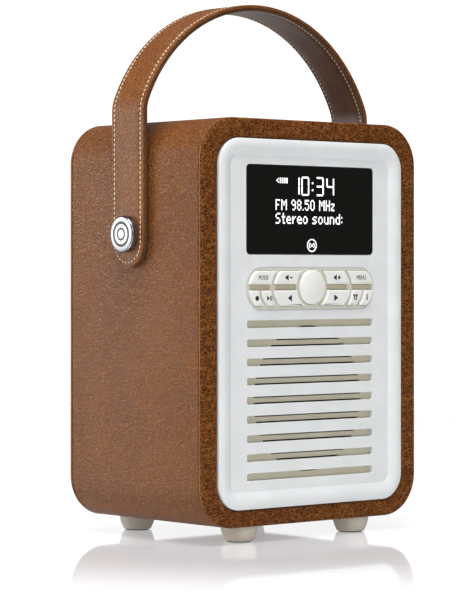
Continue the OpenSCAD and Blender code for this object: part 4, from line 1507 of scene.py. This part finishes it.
# %% Sockets
def socket_collar(node):
    low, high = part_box(node)
    x, face = middle(node).x, high[1]
    bore = 2.8 * MM if node == "dc_inlet" else 1.8 * MM
    collar, body, deep = 4 * MM, 5 * MM, 14 * MM
    step = rear_face - rear_t - face
    profile = [(bore, -deep), (bore, -0.9 * MM), (bore + 0.5 * MM, -0.2 * MM),
               (bore + 0.75 * MM, 0), (collar - 0.3 * MM, 0), (collar, -0.3 * MM), (collar, step),
               (body, step), (body, low[1] - face), (on_axis, low[1] - face),
               (on_axis, -deep)]
    mesh = turned(node + "_collar", profile, (x, face, jack_z), BACKWARD, 48, hollow=True)
    new_piece(node + "_collar", mesh, BODY, "dark_plastic", [node], sharp=CRISP)
    ring = [(bore - 0.25 * MM, -3 * MM), (bore - 0.25 * MM, -1.5 * MM),
            (bore + 0.1 * MM, -1.2 * MM), (bore + 0.1 * MM, -3 * MM)]
    metal_parts = [turned("contact", ring, (x, face, jack_z), BACKWARD, 40, hollow=True)]
    if node == "dc_inlet":
        pin = [(0.9 * MM, -deep), (0.9 * MM, -2.0 * MM), (0.6 * MM, -1.5 * MM),
               (on_axis, -1.4 * MM)]
        metal_parts.append(turned("pin", pin, (x, face, jack_z), BACKWARD, 24))
    new_piece(node + "_contact", metal_parts, BODY, "screw_steel")


for jack_node in jack_nodes:
    socket_collar(jack_node)
print("sockets:", len(jack_nodes))

# %% [markdown]
# ## The power button
#
# The button is turned with a flange that keeps it behind the cover, a round shoulder and
# a shallow dish for the finger.

# %% Power button
def power_cap():
    low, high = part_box("power_button")
    centre = middle("power_button")
    r, flange, deep = 6 * MM, (high[0] - low[0]) / 2, high[1] - low[1]
    profile = [(on_axis, 0), (flange, 0), (flange, flange - r), (r, flange - r)]
    profile += arc_profile(r - 0.9 * MM, deep - 0.9 * MM, 0.9 * MM, 0, 90, 6)
    profile += [(r * 0.7, deep - 0.1 * MM), (r * 0.45, deep - 0.35 * MM),
                (on_axis, deep - 0.45 * MM)]
    mesh = turned("power_cap", profile, (centre.x, low[1], centre.z), BACKWARD, 56)
    new_piece("power_cap", mesh, "power_push", "dark_plastic", ["power_button"], sharp=CRISP)


power_cap()
print("power button made")

# %% [markdown]
# ## The rear screws
#
# Each head is a low dome with a cross. The cross could be cut, but a dark plate just above
# the dome, painted shade for the cut cross, reads the same at this size and costs less.

# %% Rear screws
def rear_bolts():
    low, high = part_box("rear_screws")
    head_r = 3.2 * MM
    dome = [(1.6 * MM, low[1] - rear_face), (1.6 * MM, 0), (head_r, 0), (head_r, 0.35 * MM)]
    dome += [(head_r * k, 1.1 * MM - 0.75 * MM * k * k) for k in (0.95, 0.8, 0.6, 0.3, 0.001)]
    heads, crosses = [], []
    for x in (low[0] + head_r, high[0] - head_r):
        for z in (low[2] + head_r, high[2] - head_r):
            heads.append(turned("head", dome, (x, rear_face, z), BACKWARD, 40))
            for w, h in ((2.6 * MM, 0.6 * MM), (0.6 * MM, 2.6 * MM)):
                crosses.append(plate("slot", [box_loop(x, z, w, h)], rear_face + 0.6 * MM,
                                     rear_face + 1.12 * MM, 0.02 * MM, 0))
    new_piece("rear_bolts", heads, BODY, "screw_steel", ["rear_screws"], sharp=CRISP)
    # the dark crosses are painted shade for the screws' recesses
    new_piece("rear_bolt_slots", crosses, BODY, "dark_plastic", material=inks["ink_and_shade"])


rear_bolts()
print("rear screws made")

# %% [markdown]
# ## The antenna's sliding sections
#
# Drawn tube has a rolled lip where it meets the next one, and the rod ends in a turned
# tip with a waist, which a fingernail can catch. The outer tube keeps the design's own
# shape, with its flat knuckle.

# %% Antenna sections
def antenna_sections():
    low, high = corners("antenna_inner")
    tip_r, tip_len = (high.x - low.x) / 2, 3 * MM
    middle_low, middle_high = corners("antenna_middle")
    middle_r = (middle_high.x - middle_low.x) / 2
    wall = 0.5 * MM
    rod_r = middle_r - wall - 0.05 * MM
    tip = [(on_axis, 0), (tip_r - 0.7 * MM, 0)]
    tip += arc_profile(tip_r - 0.7 * MM, 0.7 * MM, 0.7 * MM, -75, 0, 5)
    tip += [(tip_r, 1.5 * MM), (tip_r - 0.35 * MM, 1.9 * MM), (tip_r - 0.35 * MM, 2.2 * MM),
            (tip_r, 2.5 * MM), (tip_r - 0.2 * MM, tip_len), (rod_r, tip_len),
            (rod_r, high.z - low.z), (on_axis, high.z - low.z)]
    mesh = turned("antenna_rod", tip, (tube_x, tube_y, low.z), UPWARD, 40)
    new_piece("antenna_rod", mesh, "antenna_inner_rod", "antenna_chrome", ["antenna_inner"],
              sharp=CRISP)
    length = middle_high.z - middle_low.z
    tube = [(rod_r + 0.05 * MM, length - 2 * MM), (rod_r + 0.05 * MM, 0.15 * MM),
            (rod_r + 0.15 * MM, 0), (middle_r - 0.15 * MM, 0), (middle_r, 0.15 * MM),
            (middle_r, length), (on_axis, length), (on_axis, length - 2 * MM)]
    mesh = turned("antenna_sleeve", tube, (tube_x, tube_y, middle_low.z), UPWARD, 40, hollow=True)
    new_piece("antenna_sleeve", mesh, "antenna_middle_tube", "antenna_chrome", ["antenna_middle"],
              sharp=CRISP)


antenna_sections()
print("antenna sections made")

# %% [markdown]
# ## Studio
#
# A plain pale table that runs into a plain backdrop, one wide soft light from behind
# the left shoulder of the radio, one above and a weaker one in front. The camera is far
# away with a long lens and looks level, so upright lines stay upright. The table glows
# by itself, which keeps it pale under the body as on a light table. Brighter lamps could
# do that too, but they would bleach the white front.

# %% Camera and lamps
camera_turn = math.radians(-41.19)
lamp_aim = 100 * MM


def soft_light(name, place, size, power):
    data = bpy.data.lights.new(name, "AREA")
    data.shape = "RECTANGLE"
    data.size, data.size_y = size
    data.energy = power
    lamp = bpy.data.objects.new(name, data)
    lamp.location = place
    way = Vector((0, 0, lamp_aim)) - lamp.location
    lamp.rotation_euler = way.to_track_quat("-Z", "Y").to_euler()
    bpy.context.scene.collection.objects.link(lamp)


def camera():
    data = bpy.data.cameras.new("camera")
    data.lens = 154.3
    data.sensor_width = 36
    data.shift_y = -0.0466
    eye = bpy.data.objects.new("camera", data)
    eye.location = (-0.7585, -0.8566, 0.1148)
    eye.rotation_euler = (math.pi / 2, 0, camera_turn)
    bpy.context.scene.collection.objects.link(eye)
    bpy.context.scene.camera = eye


camera()
print("camera ready")

# %% [markdown]
# ## The table
#
# The table is a diffuse sheet that also glows, under a thin gloss. How much gloss shows
# depends on the distance from the middle, so the radio has a clear reflection that fades
# out in front of it.

# %% Table
def table():
    """Polished near the radio and again far off, where it mirrors the pale room."""
    g = Graph("pale_table")
    apart = g.add("ShaderNodeVectorMath", {"operation": "LENGTH"}, Vector=g.place())
    distance = Value(g, apart.outputs["Value"])
    cloud = g.noise(60 * MM, g.place(), 2.0)
    matt = g.add("ShaderNodeBsdfDiffuse", Color=(0.36, 0.36, 0.37, 1), Roughness=0.5)
    lit = g.add("ShaderNodeEmission", Color=(0.97, 0.97, 1.0, 1), Strength=0.66)
    pale = g.add("ShaderNodeAddShader")
    g.tree.links.new(matt.outputs[0], pale.inputs[0])
    g.tree.links.new(lit.outputs[0], pale.inputs[1])
    gloss = g.add("ShaderNodeBsdfAnisotropic", Color=(1, 1, 1, 1), Roughness=0.055)
    both = g.add("ShaderNodeMixShader")
    polish = 0.50 - 0.42 * distance.band(0.11, 0.25) + 0.90 * distance.band(0.5, 1.6)
    g.feed(both.inputs[0], polish + 0.02 * cloud)
    g.tree.links.new(pale.outputs[0], both.inputs[1])
    g.tree.links.new(gloss.outputs[0], both.inputs[2])
    g.tree.links.new(both.outputs[0], g.tree.nodes["Material Output"].inputs[0])
    half = 12.0
    mesh = bpy.data.meshes.new("table")
    mesh.from_pydata([(-half, -half, 0), (half, -half, 0), (half, half, 0), (-half, half, 0)],
                     [], [(0, 1, 2, 3)])
    mesh.materials.append(g.material)
    sheet = bpy.data.objects.new("table", mesh)
    bpy.context.scene.collection.objects.link(sheet)


table()
print("table made")

# %% [markdown]
# ## The room
#
# What the gloss and the metal mirror is the room: white low down behind the radio, dim
# in front of it to the right, and grey overhead. An image of a studio could do this, but
# a few directions blended together are enough.

# %% Room
def room():
    """A pale room: white behind the radio, dimmest to the front right."""
    g = Graph("room", bpy.data.worlds, "Background")
    direction = Value(g, g.add("ShaderNodeTexCoord").outputs["Generated"])

    def facing(way):
        node = g.add("ShaderNodeVectorMath", {"operation": "DOT_PRODUCT"}, Vector=direction)
        node.inputs[1].default_value = way
        return Value(g, node.outputs["Value"])

    height = Value(g, g.add("ShaderNodeSeparateXYZ", Vector=direction).outputs["Z"])
    low_down = 1.0 - height.band(0.14, 0.26)
    aside, ahead = -math.sin(camera_turn), math.cos(camera_turn)
    white = facing((aside, ahead, 0)).band(0.84, 0.95) * low_down
    dim = facing((aside, -ahead, 0)).band(0.3, 0.95)
    walls = g.blend(dim, (0.34, 0.34, 0.35), (0.12, 0.12, 0.12))
    ceiling = g.blend(height.band(0.22, 0.55), walls, (0.13, 0.13, 0.13))
    g.feed(g.shader.inputs["Color"], g.blend(white, ceiling, (1.12, 1.12, 1.12)))
    bpy.context.scene.world = g.material


room()
soft_light("side_softbox", (-0.78, 0.86, 0.26), (0.75, 0.5), 7)
soft_light("top_softbox", (-0.35, -0.25, 1.25), (0.8, 0.8), 20)
soft_light("front_fill", (-0.6, -1.4, 0.9), (0.8, 0.6), 6)
bpy.context.scene.view_settings.view_transform = "Standard"
print("studio ready")
